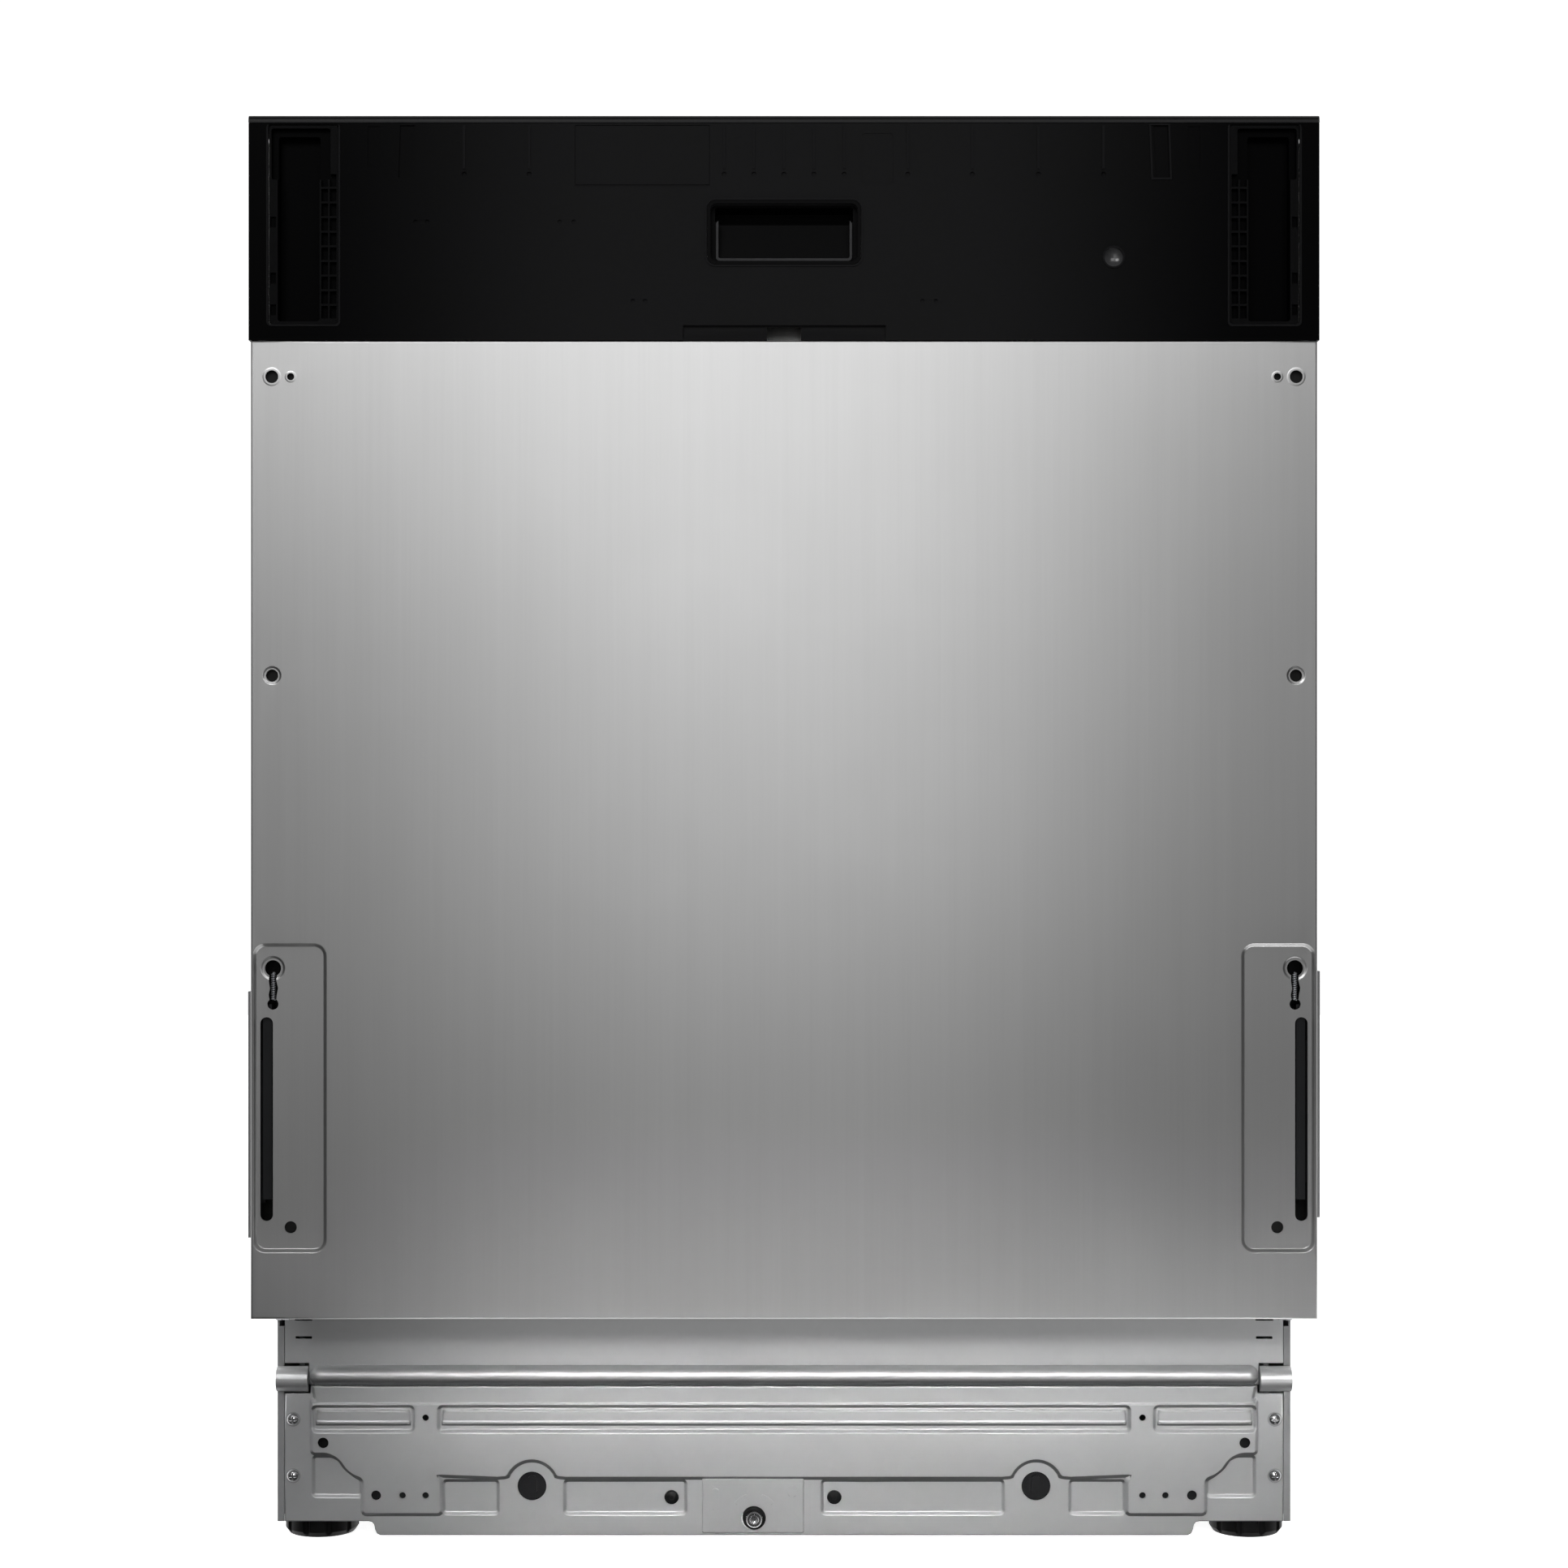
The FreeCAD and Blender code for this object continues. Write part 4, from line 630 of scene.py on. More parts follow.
# ================================================================= door skin
EDGE_X, D_BOT, D_TOP = 297.0, 147.0, 691.8
door = Sheet([(-EDGE_X, D_BOT), (EDGE_X, D_BOT), (EDGE_X, D_TOP), (-EDGE_X, D_TOP)], -274.2, 0.9)
for s in (-1, 1):
    pan = rrect(s * 255.6, s * 294.9, 185.0, 355.3, 6.2)
    door.press(pan, 2.6, 2.4)
    door.pierce(rrect(s * 284.9, s * 291.9, 201.4, 315.0, 3.48))
    door.pierce(circle(s * 275, 197.9, 3.4, 32))
    # keyhole: a wide dimpled eye above a small one, joined by a ragged slot
    key = (arc_pts(s * 284.9, 342.3, 4.5, -62, 242, 24) +
           [(s * 284.9 - 2.3, 335.2), (s * 284.9 - 1.7, 331.0), (s * 284.9 - 2.4, 327.4)] +
           arc_pts(s * 284.9 + 0.0, 322.3, 3.1, 128, 412, 20) +
           [(s * 284.9 + 2.2, 327.6), (s * 284.9 + 2.9, 331.2), (s * 284.9 + 1.9, 335.4)])
    door.pierce(key)
    door.press(circle(s * 284.9, 342.3, 6.2, 32), 0.45, 1.6)
    door.press(circle(s * 285.0, 505.4, 4.7, 28), 0.45, 1.4)
    door.pierce(circle(s * 285.0, 505.4, 3.4, 32))
    door.press(circle(s * 285.1, 671.7, 4.9, 28), -0.12, 1.0)
    door.pierce(circle(s * 285.1, 671.7, 3.6, 32))
    door.pierce(circle(s * 274.6, 671.7, 2.0, 24))
    door.press(circle(s * 274.6, 671.7, 3.0, 24), -0.12, 0.8)


def door_rim(x, z, n):
    if abs(n[0]) > 0.9:
        return 24.0
    return 14.0 if n[2] < 0 else 3.0


door_skin = door.build("door_skin", edge=1.1, rim=door_rim, step=40.0)

# ================================================================= embossed base sheet
base = Sheet([(-293.6, 11.3), (-244.5, 11.3), (-242.4, 10.9), (-241.2, 9.4), (-240.6, 6.4), (-239.6, 4.2), (-237.4, 3.15), (237.4, 3.15),
              (239.6, 4.2), (240.6, 6.4), (241.2, 9.4), (242.4, 10.9), (244.5, 11.3), (293.6, 11.3), (293.6, 86.6), (278.6, 86.6), (278.3, 91.2),
              (-278.3, 91.2), (-278.6, 86.6), (-293.6, 86.6)], -176.0, 1.0)
R = smooth_corners([(277.8, 84.0), (277.8, 51.2), (268.5, 51.2), (262.5, 48.4), (258.6, 42.4), (253.5, 38.4), (247.8, 36.4), (247.8, 15.6), (201.2, 15.6), (201.2, 37.0)], 2.6, 4)
bump_r = arc_pts(148.2, 32.0, 15.2, 22, 158, 22)
right = R + [(168.2, 37.0), (164.6, 37.3)] + bump_r + [(131.8, 37.3), (128.2, 37.0)]
plate = right + [(-x, z) for x, z in right][::-1]
plate = [(277.8, 95.0)] + plate + [(-277.8, 95.0)]
base.press(plate, -2.6, 2.7)
base.press([(-276.6, 80.8), (276.6, 80.8), (276.6, 96.0), (-276.6, 96.0)], 0.9, 1.5)
for x0, x1 in ((-277.0, -217.7), (-203.0, 203.0), (217.7, 277.0)):
    base.press(rrect(x0, x1, 64.6, 79.4, 2.6, 5), 2.4, 2.4)
    base.press([(x0 + 2.2, 68.4), (x1 - 2.2, 68.4), (x1 - 2.2, 77.0), (x0 + 2.2, 77.0)], -1.2, 1.7)
    base.press([(x0 + 2.6, 68.9), (x1 - 2.6, 68.9), (x1 - 2.6, 70.6), (x0 + 2.6, 70.6)], -0.45, 1.0)
for s in (-1, 1):
    base.pierce(circle(s * 210.5, 72.8, 1.9, 22))
    base.pierce(circle(s * 270.7, 58, 3.2, 30))
    base.pierce(circle(s * 239.6, 27.2, 2.9, 28))
    base.pierce(circle(s * 224, 27.2, 1.9, 22))
    base.pierce(circle(s * 210.5, 27.2, 1.9, 22))
    base.pierce(circle(s * 148.2, 32.1, 8.5, 48))
    base.press(smooth_corners([(s * 276.8, 49.4), (s * 266.2, 49.4), (s * 260.9, 46.8), (s * 257.2, 41.2), (s * 252.4, 37.3), (s * 249.0, 35.6), (s * 249.0, 26.0), (s * 276.8, 26.0)], 2.0, 4), 2.1, 2.3)
    base.press(smooth_corners([(s * 200.2, 15.8), (s * 168.2, 15.8), (s * 168.2, 35.2), (s * 200.2, 35.2)], 2.2, 4), 2.1, 2.3)
    for z in (38.2, 71.4):
        base.pierce(circle(s * 288.6, z, 2.1, 20))
base.press(smooth_corners([(-129.0, 15.8), (-57.8, 15.8), (-57.8, 35.2), (-129.0, 35.2)], 2.2, 4), 2.1, 2.3)
base.press(smooth_corners([(22.4, 15.8), (129.0, 15.8), (129.0, 35.2), (22.4, 35.2)], 2.2, 4), 2.1, 2.3)
base.pierce(circle(-66.2, 25, 4.3, 32))
base.pierce(circle(29.6, 25, 4.3, 32))
base.pierce(rrect(-44, 8, 6.5, 34, 2))
base_skin = base.build("base_front_skin", edge=0.7, rim=lambda x, z, n: 2.4, step=30.0)

# front sheet zinc, with painted light and shade on its up- and down-facing pressed walls
MAT["zinc_front"] = zinc("zinc_front_sheet", (0.61, 0.615, 0.62), (0.665, 0.67, 0.675), 0.55, 0.38, 0.46, painted_slope_light=0.95)
for ob, mat, slot, body, node in ((door_skin, "door_steel", "door_steel", "door", "door_outer_panel"),
                                  (base_skin, "zinc_front", "zinc_steel", "cabinet", "base_front_panel")):
    ob.data.materials.append(MAT[mat])
    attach(ob, body)
    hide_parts(node)

# ================================================================= coated wire racks
def fillet(pts, r, n=6):
    """A 3-D polyline with its inner corners rounded to radius r."""
    P = [Vector(p) for p in pts]
    out = [P[0]]
    for i in range(1, len(P) - 1):
        a, b, c = P[i - 1], P[i], P[i + 1]
        u, v = (a - b), (c - b)
        lu, lv = u.length, v.length
        u.normalize()
        v.normalize()
        ang = u.angle(v)
        if ang > math.pi - 0.02:
            out.append(b)
            continue
        d = min(r / math.tan(ang / 2), lu * 0.49, lv * 0.49)
        s, e = b + u * d, b + v * d
        rr = d * math.tan(ang / 2)
        mid = (u + v).normalized()
        cen = b + mid * (rr / math.sin(ang / 2))
        sv, ev = s - cen, e - cen
        tot = sv.angle(ev)
        ax = sv.cross(ev).normalized()
        for k in range(n + 1):
            out.append(cen + Matrix.Rotation(tot * k / n, 3, ax) @ sv)
    out.append(P[-1])
    return out


def loop_pts(x0, x1, y0, y1, z, r, zf=None, ramp=60.0):
    """Closed rounded rectangle; zf gives the height along the front run."""
    pts = []
    for cx, cy, a0 in ((x1 - r, y1 - r, 0), (x0 + r, y1 - r, 90), (x0 + r, y0 + r, 180), (x1 - r, y0 + r, 270)):
        for k in range(9):
            a = math.radians(a0 + 90 * k / 8)
            pts.append(Vector((cx + r * math.cos(a), cy + r * math.sin(a), z)))
    if zf is not None:
        out = []
        m = len(pts)
        for i in range(m):
            a, b = pts[i], pts[(i + 1) % m]
            k = max(1, int((b - a).length / 10))
            out += [a.lerp(b, j / k) for j in range(k)]
        for p in out:
            t = min(1.0, max(0.0, (y0 + r + ramp - p.y) / ramp))
            p.z = z + (zf - z) * t * t * (3 - 2 * t)
        pts = out
    return pts


def wires(name, paths, radius, slot, closed=False, tip=False, res=3):
    cu = bpy.data.curves.new(name, "CURVE")
    cu.dimensions = "3D"
    cu.bevel_depth = radius * 0.001
    cu.bevel_resolution = res
    cu.use_fill_caps = True
    for path in paths:
        pts = [Vector(p) for p in path]
        rad = [1.0] * len(pts)
        if tip:
            d = (pts[-1] - pts[-2]).normalized()
            end = pts[-1]
            pts = pts[:-1] + [end - d * radius * k for k in (1.0, 0.6, 0.25, 0.05, 0.0)]
            rad = rad[:-1] + [1.0, 0.93, 0.68, 0.32, 0.02]
        sp = cu.splines.new("POLY")
        sp.points.add(len(pts) - 1)
        for q, p, w in zip(sp.points, pts, rad):
            q.co = (p.x * 0.001, p.y * 0.001, p.z * 0.001, 1)
            q.radius = w
        sp.use_cyclic_u = closed
        sp.use_smooth = True
    ob = bpy.data.objects.new(name, cu)
    scene.collection.objects.link(ob)
    me = bpy.data.meshes.new_from_object(ob.evaluated_get(bpy.context.evaluated_depsgraph_get()))
    bpy.data.objects.remove(ob)
    me.name = name
    for p in me.polygons:
        p.use_smooth = True
    ob = bpy.data.objects.new(name, me)
    scene.collection.objects.link(ob)
    me.materials.append(MAT[slot])
    return ob


def rounded_block(name, x0, x1, y0, y1, z0, z1, r, slot, cuts=()):
    """A moulded block with all its edges rounded."""
    x0, x1 = min(x0, x1), max(x0, x1)
    me = bpy.data.meshes.new(name)
    b = bmesh.new()
    bmesh.ops.create_cube(b, size=1.0)
    for v in b.verts:
        v.co = Vector(((x0 + x1) / 2 + v.co.x * (x1 - x0), (y0 + y1) / 2 + v.co.y * (y1 - y0), (z0 + z1) / 2 + v.co.z * (z1 - z0))) * 0.001
    bmesh.ops.bevel(b, geom=list(b.edges), offset=r * 0.001, segments=4, profile=0.5, affect="EDGES")
    b.to_mesh(me)
    b.free()
    for p in me.polygons:
        p.use_smooth = True
    ob = bpy.data.objects.new(name, me)
    scene.collection.objects.link(ob)
    me.materials.append(MAT[slot])
    w = ob.modifiers.new("shade", "WEIGHTED_NORMAL")
    return ob


def turned(name, axis, centre, profile, slot, seg=40, ring=False):
    """A turned piece: profile is a list of (radius, position along the axis), closed on itself for a ring."""
    me = bpy.data.meshes.new(name)
    verts, faces = [], []
    a = {"x": 0, "y": 1, "z": 2}[axis]
    o = [i for i in range(3) if i != a]
    for r, h in profile:
        for k in range(seg):
            t = 2 * math.pi * k / seg
            p = [0, 0, 0]
            p[a] = h
            p[o[0]] = centre[o[0]] + r * math.cos(t)
            p[o[1]] = centre[o[1]] + r * math.sin(t)
            verts.append([c * 0.001 for c in p])
    m = len(profile)
    for i in range(m - 1):
        for k in range(seg):
            k2 = (k + 1) % seg
            faces.append((i * seg + k, i * seg + k2, (i + 1) * seg + k2, (i + 1) * seg + k))
    if ring:
        faces += [((m - 1) * seg + k, (m - 1) * seg + (k + 1) % seg, (k + 1) % seg, k) for k in range(seg)]
    else:
        faces.append(tuple(range(seg))[::-1])
        faces.append(tuple((m - 1) * seg + k for k in range(seg)))
    me.from_pydata(verts, [], faces)
    b = bmesh.new()
    b.from_mesh(me)
    bmesh.ops.recalc_face_normals(b, faces=list(b.faces))
    b.to_mesh(me)
    b.free()
    for p in me.polygons:
        p.use_smooth = True
    ob = bpy.data.objects.new(name, me)
    scene.collection.objects.link(ob)
    me.materials.append(MAT[slot])
    e = ob.modifiers.new("split", "EDGE_SPLIT")
    e.split_angle = math.radians(40)
    return ob


def rack(prefix, body, node, X, y0, y1, zf, ztop, zfront, ny, nx, tine_rows, tine_h, tine_lean, tine_n, tine_pitch, tine_start):
    made = []
    made.append(wires(prefix + "_floor_ring", [loop_pts(-X, X, y0, y1, zf, 18)], 2.5, "wire_grey", True))
    made.append(wires(prefix + "_top_rim", [loop_pts(-X, X, y0, y1, ztop, 22, zfront)], 2.5, "wire_grey", True))
    paths = []
    for i in range(nx):
        x = -X + 2 * X * (i + 1) / (nx + 1)
        paths.append(fillet([(x, y0 + 4.2, zfront + 1.0), (x, y0 + 4.2, zf + 3.4), (x, y1 - 4.2, zf + 3.4), (x, y1 - 4.2, ztop + 1.0)], 9))
    made.append(wires(prefix + "_long_wires", paths, 1.8, "wire_grey"))
    paths = []
    for j in range(ny):
        y = y0 + (y1 - y0) * (j + 1) / (ny + 1)
        t = min(1.0, max(0.0, (y0 + 22 + 60 - y) / 60))
        zt_ = ztop + (zfront - ztop) * t * t * (3 - 2 * t)
        paths.append(fillet([(-X + 4.2, y, zt_ + 1), (-X + 4.2, y, zf), (X - 4.2, y, zf), (X - 4.2, y, zt_ + 1)], 9))
    made.append(wires(prefix + "_cross_wires", paths, 1.8, "wire_grey"))
    zm = zf + (zfront - zf) * 0.5
    made.append(wires(prefix + "_mid_loop", [loop_pts(-X + 7.7, X - 7.7, y0 + 7.7, y1 - 7.7, zm, 14)], 1.8, "wire_grey", True))
    base_paths, tines = [], []
    zb = zf + 7.0
    for x in tine_rows:
        base_paths.append([(x, tine_start - 8, zb), (x, tine_start + tine_pitch * (tine_n - 1) + 8, zb)])
        for k in range(tine_n):
            y = tine_start + tine_pitch * k
            tines.append([(x, y, zb), (x, y - tine_lean * 0.5, zb + tine_h * 0.5), (x, y - tine_lean, zb + tine_h + 1.8)])
    made.append(wires(prefix + "_tine_bases", base_paths, 1.8, "wire_grey"))
    made.append(wires(prefix + "_tines", tines, 1.8, "wire_grey", tip=True))
    for o in made:
        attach(o, body)
    return made


lower = rack("lower_rack", "lower_rack", "lower_rack", 240, -204, 206, 222.5, 338.0, 324.0, 11, 12, (-166.0, -92.4), 62, 6, 12, 28, -150)
upper = rack("upper_rack", "upper_rack", "upper_rack", 238, -198, 203, 470.0, 586.0, 568.0, 11, 12, (-128.2, -18.3, 91.5), 45, 5, 10, 31, -140)
fold = []
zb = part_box("fold_tines")[0].z * 1000 + 1.8
fold.append(wires("fold_tine_rod", [[(18.6, -160, zb), (18.6, 170, zb)]], 1.8, "wire_grey"))
fold.append(wires("fold_tine_pins", [[(18.6, -150 + 28 * k, zb), (18.6, -153 + 28 * k, zb + 31), (18.6, -156 + 28 * k, zb + 63.8)] for k in range(12)], 1.8, "wire_grey", tip=True))
for o in fold:
    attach(o, "fold_tines")
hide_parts("fold_tines")

# moulded carriers of the lower rack wheels
carriers = []
for s in (-1, 1):
    for y in (-96.0, 150.0):
        tag = ("l" if s < 0 else "r") + ("f" if y < 0 else "b")
        c = rounded_block("wheel_carrier_" + tag, s * 236.5, s * 244.3, y - 9, y + 9, 184.5, 219.8, 2.4, "light_plastic")
        a = turned("wheel_axle_" + tag, "x", (0, y, 193.0), [(0.4, s * 244.0), (4.0, s * 244.0), (4.0, s * 257.4), (3.2, s * 258.3), (0.4, s * 258.3)], "light_plastic")
        clip = rounded_block("wheel_clip_" + tag, s * 236.8, s * 243.9, y - 12, y + 12, 217.0, 228.5, 2.2, "light_plastic")
        for o in (c, a, clip):
            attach(o, "lower_rack")
        carriers.append(c)
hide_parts("lower_rack")

# hangers and spray duct of the upper rack
for s in (-1, 1):
    for y in (52.0, 186.0):
        tag = ("l" if s < 0 else "r") + ("f" if y < 100 else "b")
        h = rounded_block("hanger_" + tag, s * 240.7, s * 245.6, y - 9, y + 9, 529, 588, 2.0, "light_plastic")
        ax = turned("hanger_axle_" + tag, "x", (0, y, 546.0), [(0.4, s * 245.0), (4.0, s * 245.0), (4.0, s * 259.6), (6.2, s * 259.7), (7.1, s * 260.6), (7.1, s * 266.6), (6.2, s * 267.5), (2.2, s * 267.6), (2.0, s * 265.4), (0.4, s * 265.4)], "light_plastic")
        for o in (h, ax):
            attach(o, "upper_rack")
duct = [rounded_block("rack_duct", -13, 13, 5, 196, 461.4, 467.2, 2.2, "grey_plastic"),
        rounded_block("rack_duct_drop", -11, 11, 188, 198, 446, 467.2, 2.2, "grey_plastic"),
        turned("rack_duct_nozzle", "y", (0, 0, 454.6), [(7.0, 190), (8.6, 190.4), (8.6, 206.8), (7.6, 208.4), (6.4, 208.4), (6.2, 198), (0.4, 198)], "grey_plastic"),
        turned("rack_duct_hub", "z", (0, 5, 0), [(0.4, 442.2), (8.0, 442.2), (9.0, 443.2), (9.0, 446.4), (8.4, 446.9), (6.0, 446.9), (6.0, 461.4), (19.0, 461.4), (20.0, 462.2), (20.0, 466.4), (19.2, 467.2), (0.4, 467.2)], "grey_plastic")]
for o in duct:
    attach(o, "upper_rack")
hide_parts("upper_rack")


# ================================================================= small fittings
for s in (-1, 1):
    tag = "left" if s < 0 else "right"
    coil = [(s * 284.9 + 0.95 * math.cos(t * 0.6), -270.2 + 0.95 * math.sin(t * 0.6), 324.5 + t * 0.118) for t in range(0, 130)]
    c = wires("panel_catch_spring_" + tag, [coil], 0.42, "hinge_steel")
    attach(c, "door")
    # near-black blocks just behind the slot, the keyhole and the round holes of the door skin make these openings read
    # black: a dark thing where there is only shade, painted shade
    for part, x0, x1, y0, y1, z0, z1 in (("slot_shade_backing_", 283.3, 295.2, -255.6, -254.2, 190.0, 352.0), ("lower_hole_shade_backing_", 268.5, 281.5, -270.3, -268.9, 191.5, 204.5),
                                         ("middle_hole_shade_backing_", 279.0, 291.0, -270.9, -269.4, 499.0, 512.0), ("upper_hole_shade_backing_", 270.0, 291.0, -270.9, -269.4, 665.5, 678.0)):
        q = rounded_block(part + tag, s * x0, s * x1, y0, y1, z0, z1, 0.6, "foot_plastic")
        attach(q, "door")
for tag, x in (("left", -66.2), ("right", 29.6)):
    p = turned("panel_plug_" + tag, "y", (x, 0, 25.0), [(0.4, -175.0), (1.2, -175.0), (1.5, -174.7), (3.3, -174.6), (3.9, -174.1), (3.9, -171.2), (3.0, -170.8), (0.4, -170.8)], "foot_plastic")
    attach(p, "cabinet")
ring = turned("adjuster_bush", "y", (-17.5, 0, 13.6), [(4.72, -171.4), (4.72, -177.0), (5.1, -177.4), (6.5, -177.4), (6.95, -176.9), (6.95, -171.4)], "foot_plastic", ring=True)
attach(ring, "cabinet")


# ================================================================= edges of the moulded and pressed parts
def soften(node, width, segments=2, angle=35):
    o = N[node]
    w = o.modifiers.new("weld", "WELD")
    w.merge_threshold = 0.00001
    b = o.modifiers.new("edge", "BEVEL")
    b.width = width
    b.segments = segments
    b.limit_method = "ANGLE"
    b.angle_limit = math.radians(angle)
    b.harden_normals = False
    b.use_clamp_overlap = True
    n = o.modifiers.new("shade", "WEIGHTED_NORMAL")
    n.keep_sharp = True
    for p in o.data.polygons:
        p.use_smooth = True


for node, width in {"console_front": 0.00035, "grip_pocket": 0.0008, "control_fascia": 0.0003, "display_window": 0.0006,
                    "power_button": 0.0005, "program_button": 0.0005, "option_button": 0.0005, "start_button": 0.0005,
                    "panel_guide_left": 0.0003, "panel_guide_right": 0.0003, "front_foot_left": 0.0010, "front_foot_right": 0.0010,
                    "adjuster_plate": 0.0003, "front_cross_member": 0.0006, 
                    "base_screws": 0.0003, "lower_spray_arm": 0.0015, "upper_spray_arm": 0.0012, "top_spray_arm": 0.001,
                    "dispenser_housing": 0.0008, "detergent_lid": 0.0008, "rinse_aid_cap": 0.0008, "cutlery_basket": 0.0005,
                    "salt_cap": 0.0008}.items():
    soften(node, width)


# ================================================================= stage, lights, camera
WORLD_BACK, WORLD_HIGH, WORLD_LOW = 1.1, 0.10, 0.04


def area(name, loc, target, size, size_y, power, spread=180, colour=(1, 1, 1)):
    d = bpy.data.lights.new(name, "AREA")
    d.shape = "RECTANGLE"
    d.size, d.size_y = size, size_y
    d.energy = power
    d.color = colour
    d.spread = math.radians(spread)
    o = bpy.data.objects.new(name, d)
    scene.collection.objects.link(o)
    o.location = loc
    o.rotation_euler = (Vector(target) - Vector(loc)).to_track_quat("-Z", "Y").to_euler()
    o.visible_camera = False
    return o


floor_mesh = bpy.data.meshes.new("studio_floor")
bm = bmesh.new()
bmesh.ops.create_grid(bm, x_segments=24, y_segments=24, size=1.0)
bmesh.ops.scale(bm, verts=bm.verts, vec=(5.0, 3.1, 1.0))
bmesh.ops.translate(bm, verts=bm.verts, vec=(0, 0.9, 0))
bm.to_mesh(floor_mesh)
bm.free()
floor = bpy.data.objects.new("studio_floor", floor_mesh)
scene.collection.objects.link(floor)
floor.location = (0, 0, -0.0002)
# painted light on the floor: its colour pales towards the back, and it glows by its own emission from y -0.45 m back,
# fading out by y -0.85 m
fm, nt, b = new_mat("studio_floor")
sep = nt.nodes.new("ShaderNodeSeparateXYZ")
nt.links.new(coords(nt), sep.inputs[0])
mr = nt.nodes.new("ShaderNodeMapRange")
mr.interpolation_type = "SMOOTHSTEP"
for k, v in (("From Min", -1.3), ("From Max", -0.30), ("To Min", 0.22), ("To Max", 0.88)):
    mr.inputs[k].default_value = v
nt.links.new(sep.outputs["Y"], mr.inputs["Value"])
cc = nt.nodes.new("ShaderNodeCombineColor")
for i in range(3):
    nt.links.new(mr.outputs[0], cc.inputs[i])
nt.links.new(cc.outputs[0], b.inputs["Base Color"])
b.inputs["Roughness"].default_value = 0.9
b.inputs["Specular IOR Level"].default_value = 0.05
me = nt.nodes.new("ShaderNodeMapRange")
me.interpolation_type = "SMOOTHSTEP"
for k, v in (("From Min", -0.85), ("From Max", -0.45), ("To Min", 0.0), ("To Max", 0.92)):
    me.inputs[k].default_value = v
nt.links.new(sep.outputs["Y"], me.inputs["Value"])
b.inputs["Emission Color"].default_value = (1, 1, 1, 1)
nt.links.new(me.outputs[0], b.inputs["Emission Strength"])
floor_mesh.materials.append(fm)
floor.visible_glossy = False
floor.visible_diffuse = False

world = bpy.data.worlds.new("studio")
scene.world = world
world.use_nodes = True
wn = world.node_tree
bg = wn.nodes["Background"]
tc = wn.nodes.new("ShaderNodeTexCoord")
sx = wn.nodes.new("ShaderNodeSeparateXYZ")
wn.links.new(tc.outputs["Generated"], sx.inputs[0])


def wramp(sock, a, b_, lo, hi):
    r = wn.nodes.new("ShaderNodeMapRange")
    r.interpolation_type = "SMOOTHSTEP"
    for k, v in (("From Min", a), ("From Max", b_), ("To Min", lo), ("To Max", hi)):
        r.inputs[k].default_value = v
    wn.links.new(sock, r.inputs["Value"])
    return r.outputs[0]


def wmath(op, a, b_):
    m = wn.nodes.new("ShaderNodeMath")
    m.operation = op
    wn.links.new(a, m.inputs[0])
    wn.links.new(b_, m.inputs[1])
    return m.outputs[0]


behind = wramp(sx.outputs["Y"], -0.25, 0.25, 0.0, WORLD_BACK)
ahead = wramp(sx.outputs["Y"], -0.25, 0.25, 1.0, 0.0)
height = wramp(sx.outputs["Z"], -0.05, 0.35, WORLD_LOW, WORLD_HIGH)
wn.links.new(wmath("ADD", behind, wmath("MULTIPLY", ahead, height)), bg.inputs["Strength"])
bg.inputs["Color"].default_value = (1, 1, 1, 1)

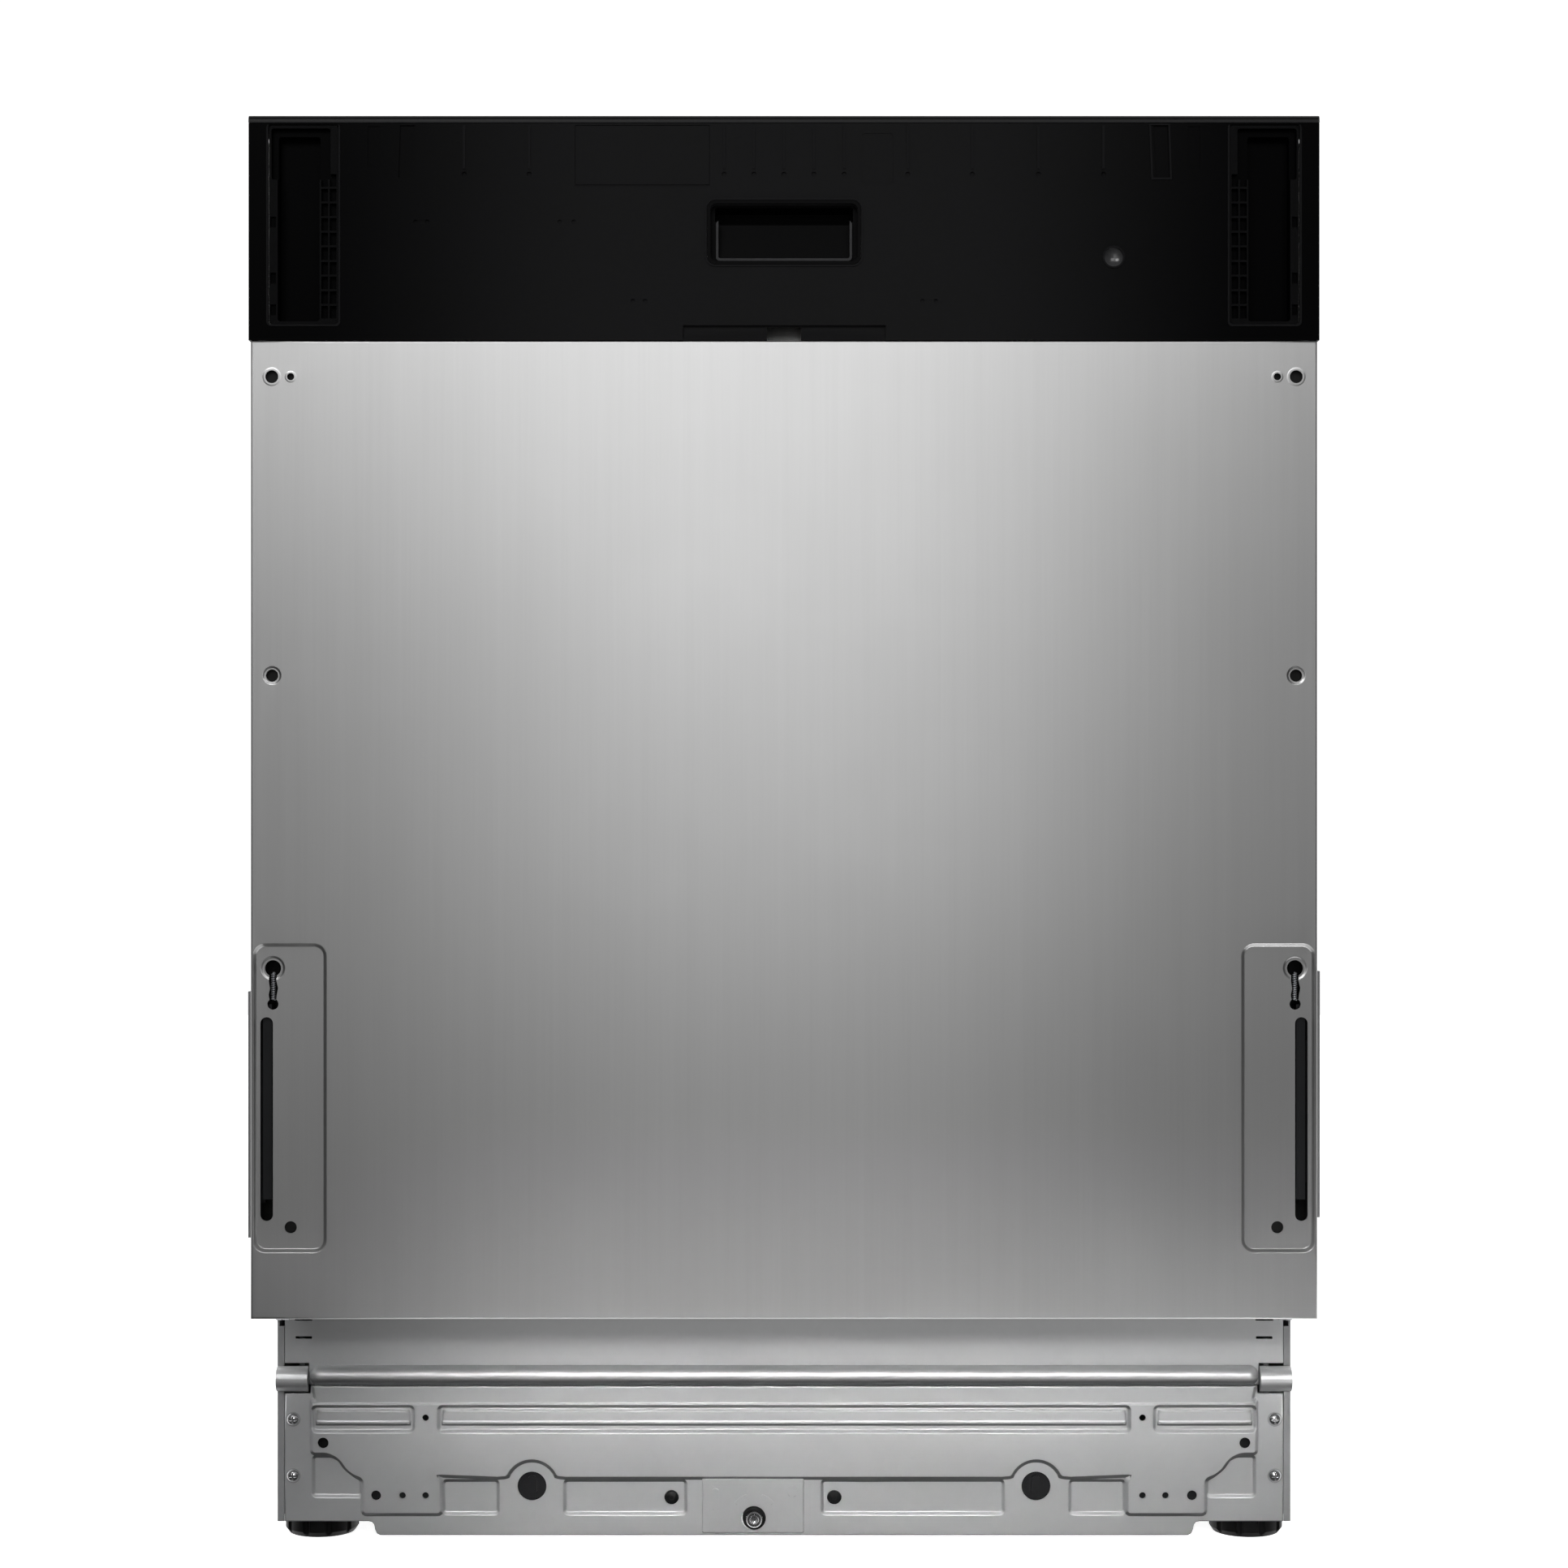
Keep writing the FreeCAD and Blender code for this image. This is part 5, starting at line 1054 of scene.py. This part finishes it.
# a high soft front light, stronger on its left, a weak bank level with the door and a pale card lying in front of the feet
rig = [
    ('front_bank', (-0.45, -1.45, 0.2), (-0.225, -0.27, 0.32), 0.5, 0.5, 0.0232, 75),
    ('front_bank', (-0.45, -1.45, 0.55), (-0.225, -0.27, 0.495), 0.5, 0.5, 0.0201, 75),
    ('front_bank', (-0.45, -1.45, 0.9), (-0.225, -0.27, 0.67), 0.5, 0.5, 0.0548, 75),
    ('front_bank', (-0.45, -1.45, 1.25), (-0.225, -0.27, 0.845), 0.5, 0.5, 0.0858, 75),
    ('front_bank', (0.0, -1.45, 0.2), (0.0, -0.27, 0.32), 0.5, 0.5, 0.0275, 75),
    ('front_bank', (0.0, -1.45, 0.55), (0.0, -0.27, 0.495), 0.5, 0.5, 0.1223, 75),
    ('front_bank', (0.0, -1.45, 0.9), (0.0, -0.27, 0.67), 0.5, 0.5, 0.1116, 75),
    ('front_bank', (0.0, -1.45, 1.25), (0.0, -0.27, 0.845), 0.5, 0.5, 0.1559, 75),
    ('front_bank', (0.45, -1.45, 0.2), (0.225, -0.27, 0.32), 0.5, 0.5, 0.0117, 75),
    ('front_bank', (0.45, -1.45, 0.55), (0.225, -0.27, 0.495), 0.5, 0.5, 0.0318, 75),
    ('front_bank', (0.45, -1.45, 0.9), (0.225, -0.27, 0.67), 0.5, 0.5, 0.0099, 75),
    ('front_bank', (0.45, -1.45, 1.25), (0.225, -0.27, 0.845), 0.5, 0.5, 0.2596, 75),
    ('high_front', (-0.8, -2.6, 1.9), (-0.32, -0.27, 0.55), 1.0, 0.8, 8.7919, 160),
    ('high_front', (0.8, -2.6, 1.9), (0.32, -0.27, 0.55), 1.0, 0.8, 0.6281, 160),
    ('low_front', (0.0, -1.2, 0.12), (0.0, -0.17, 0.07), 0.35, 0.16, 0.0039, 40),
    ('low_front', (0.35, -1.2, 0.12), (0.21, -0.17, 0.07), 0.35, 0.16, 0.0011, 40),
    ('base_strip', (-0.4, -1.45, 0.5), (-0.38, -0.175, 0.03), 0.4, 0.12, 0.0189, 14),
    ('base_strip', (0.0, -1.45, 0.5), (0.0, -0.175, 0.03), 0.4, 0.12, 0.1293, 14),
    ('base_strip', (0.4, -1.45, 0.5), (0.38, -0.175, 0.03), 0.4, 0.12, 0.09, 14),
    ('floor_card', (0.0, -0.45, 0.004), (0.0, -0.45, 1.0), 0.5, 0.24, 0.5, 160),
    ('floor_card', (0.5, -0.45, 0.004), (0.5, -0.45, 1.0), 0.5, 0.24, 0.7, 160),
]
for k, (tag, loc, target, size, size_y, power, spread) in enumerate(rig):
    area("%s_%02d" % (tag, k), loc, target, size, size_y, power, spread)

cam = bpy.data.cameras.new("camera")
cam.lens = 71.6
cam.sensor_width = 36.0
cam.clip_start = 0.05
co = bpy.data.objects.new("camera", cam)
scene.collection.objects.link(co)
co.location = (0.0, -2.010, 0.445)
co.rotation_euler = (math.radians(90), 0, 0)
scene.camera = co
scene.view_settings.view_transform = "Standard"
scene.view_settings.look = "None"
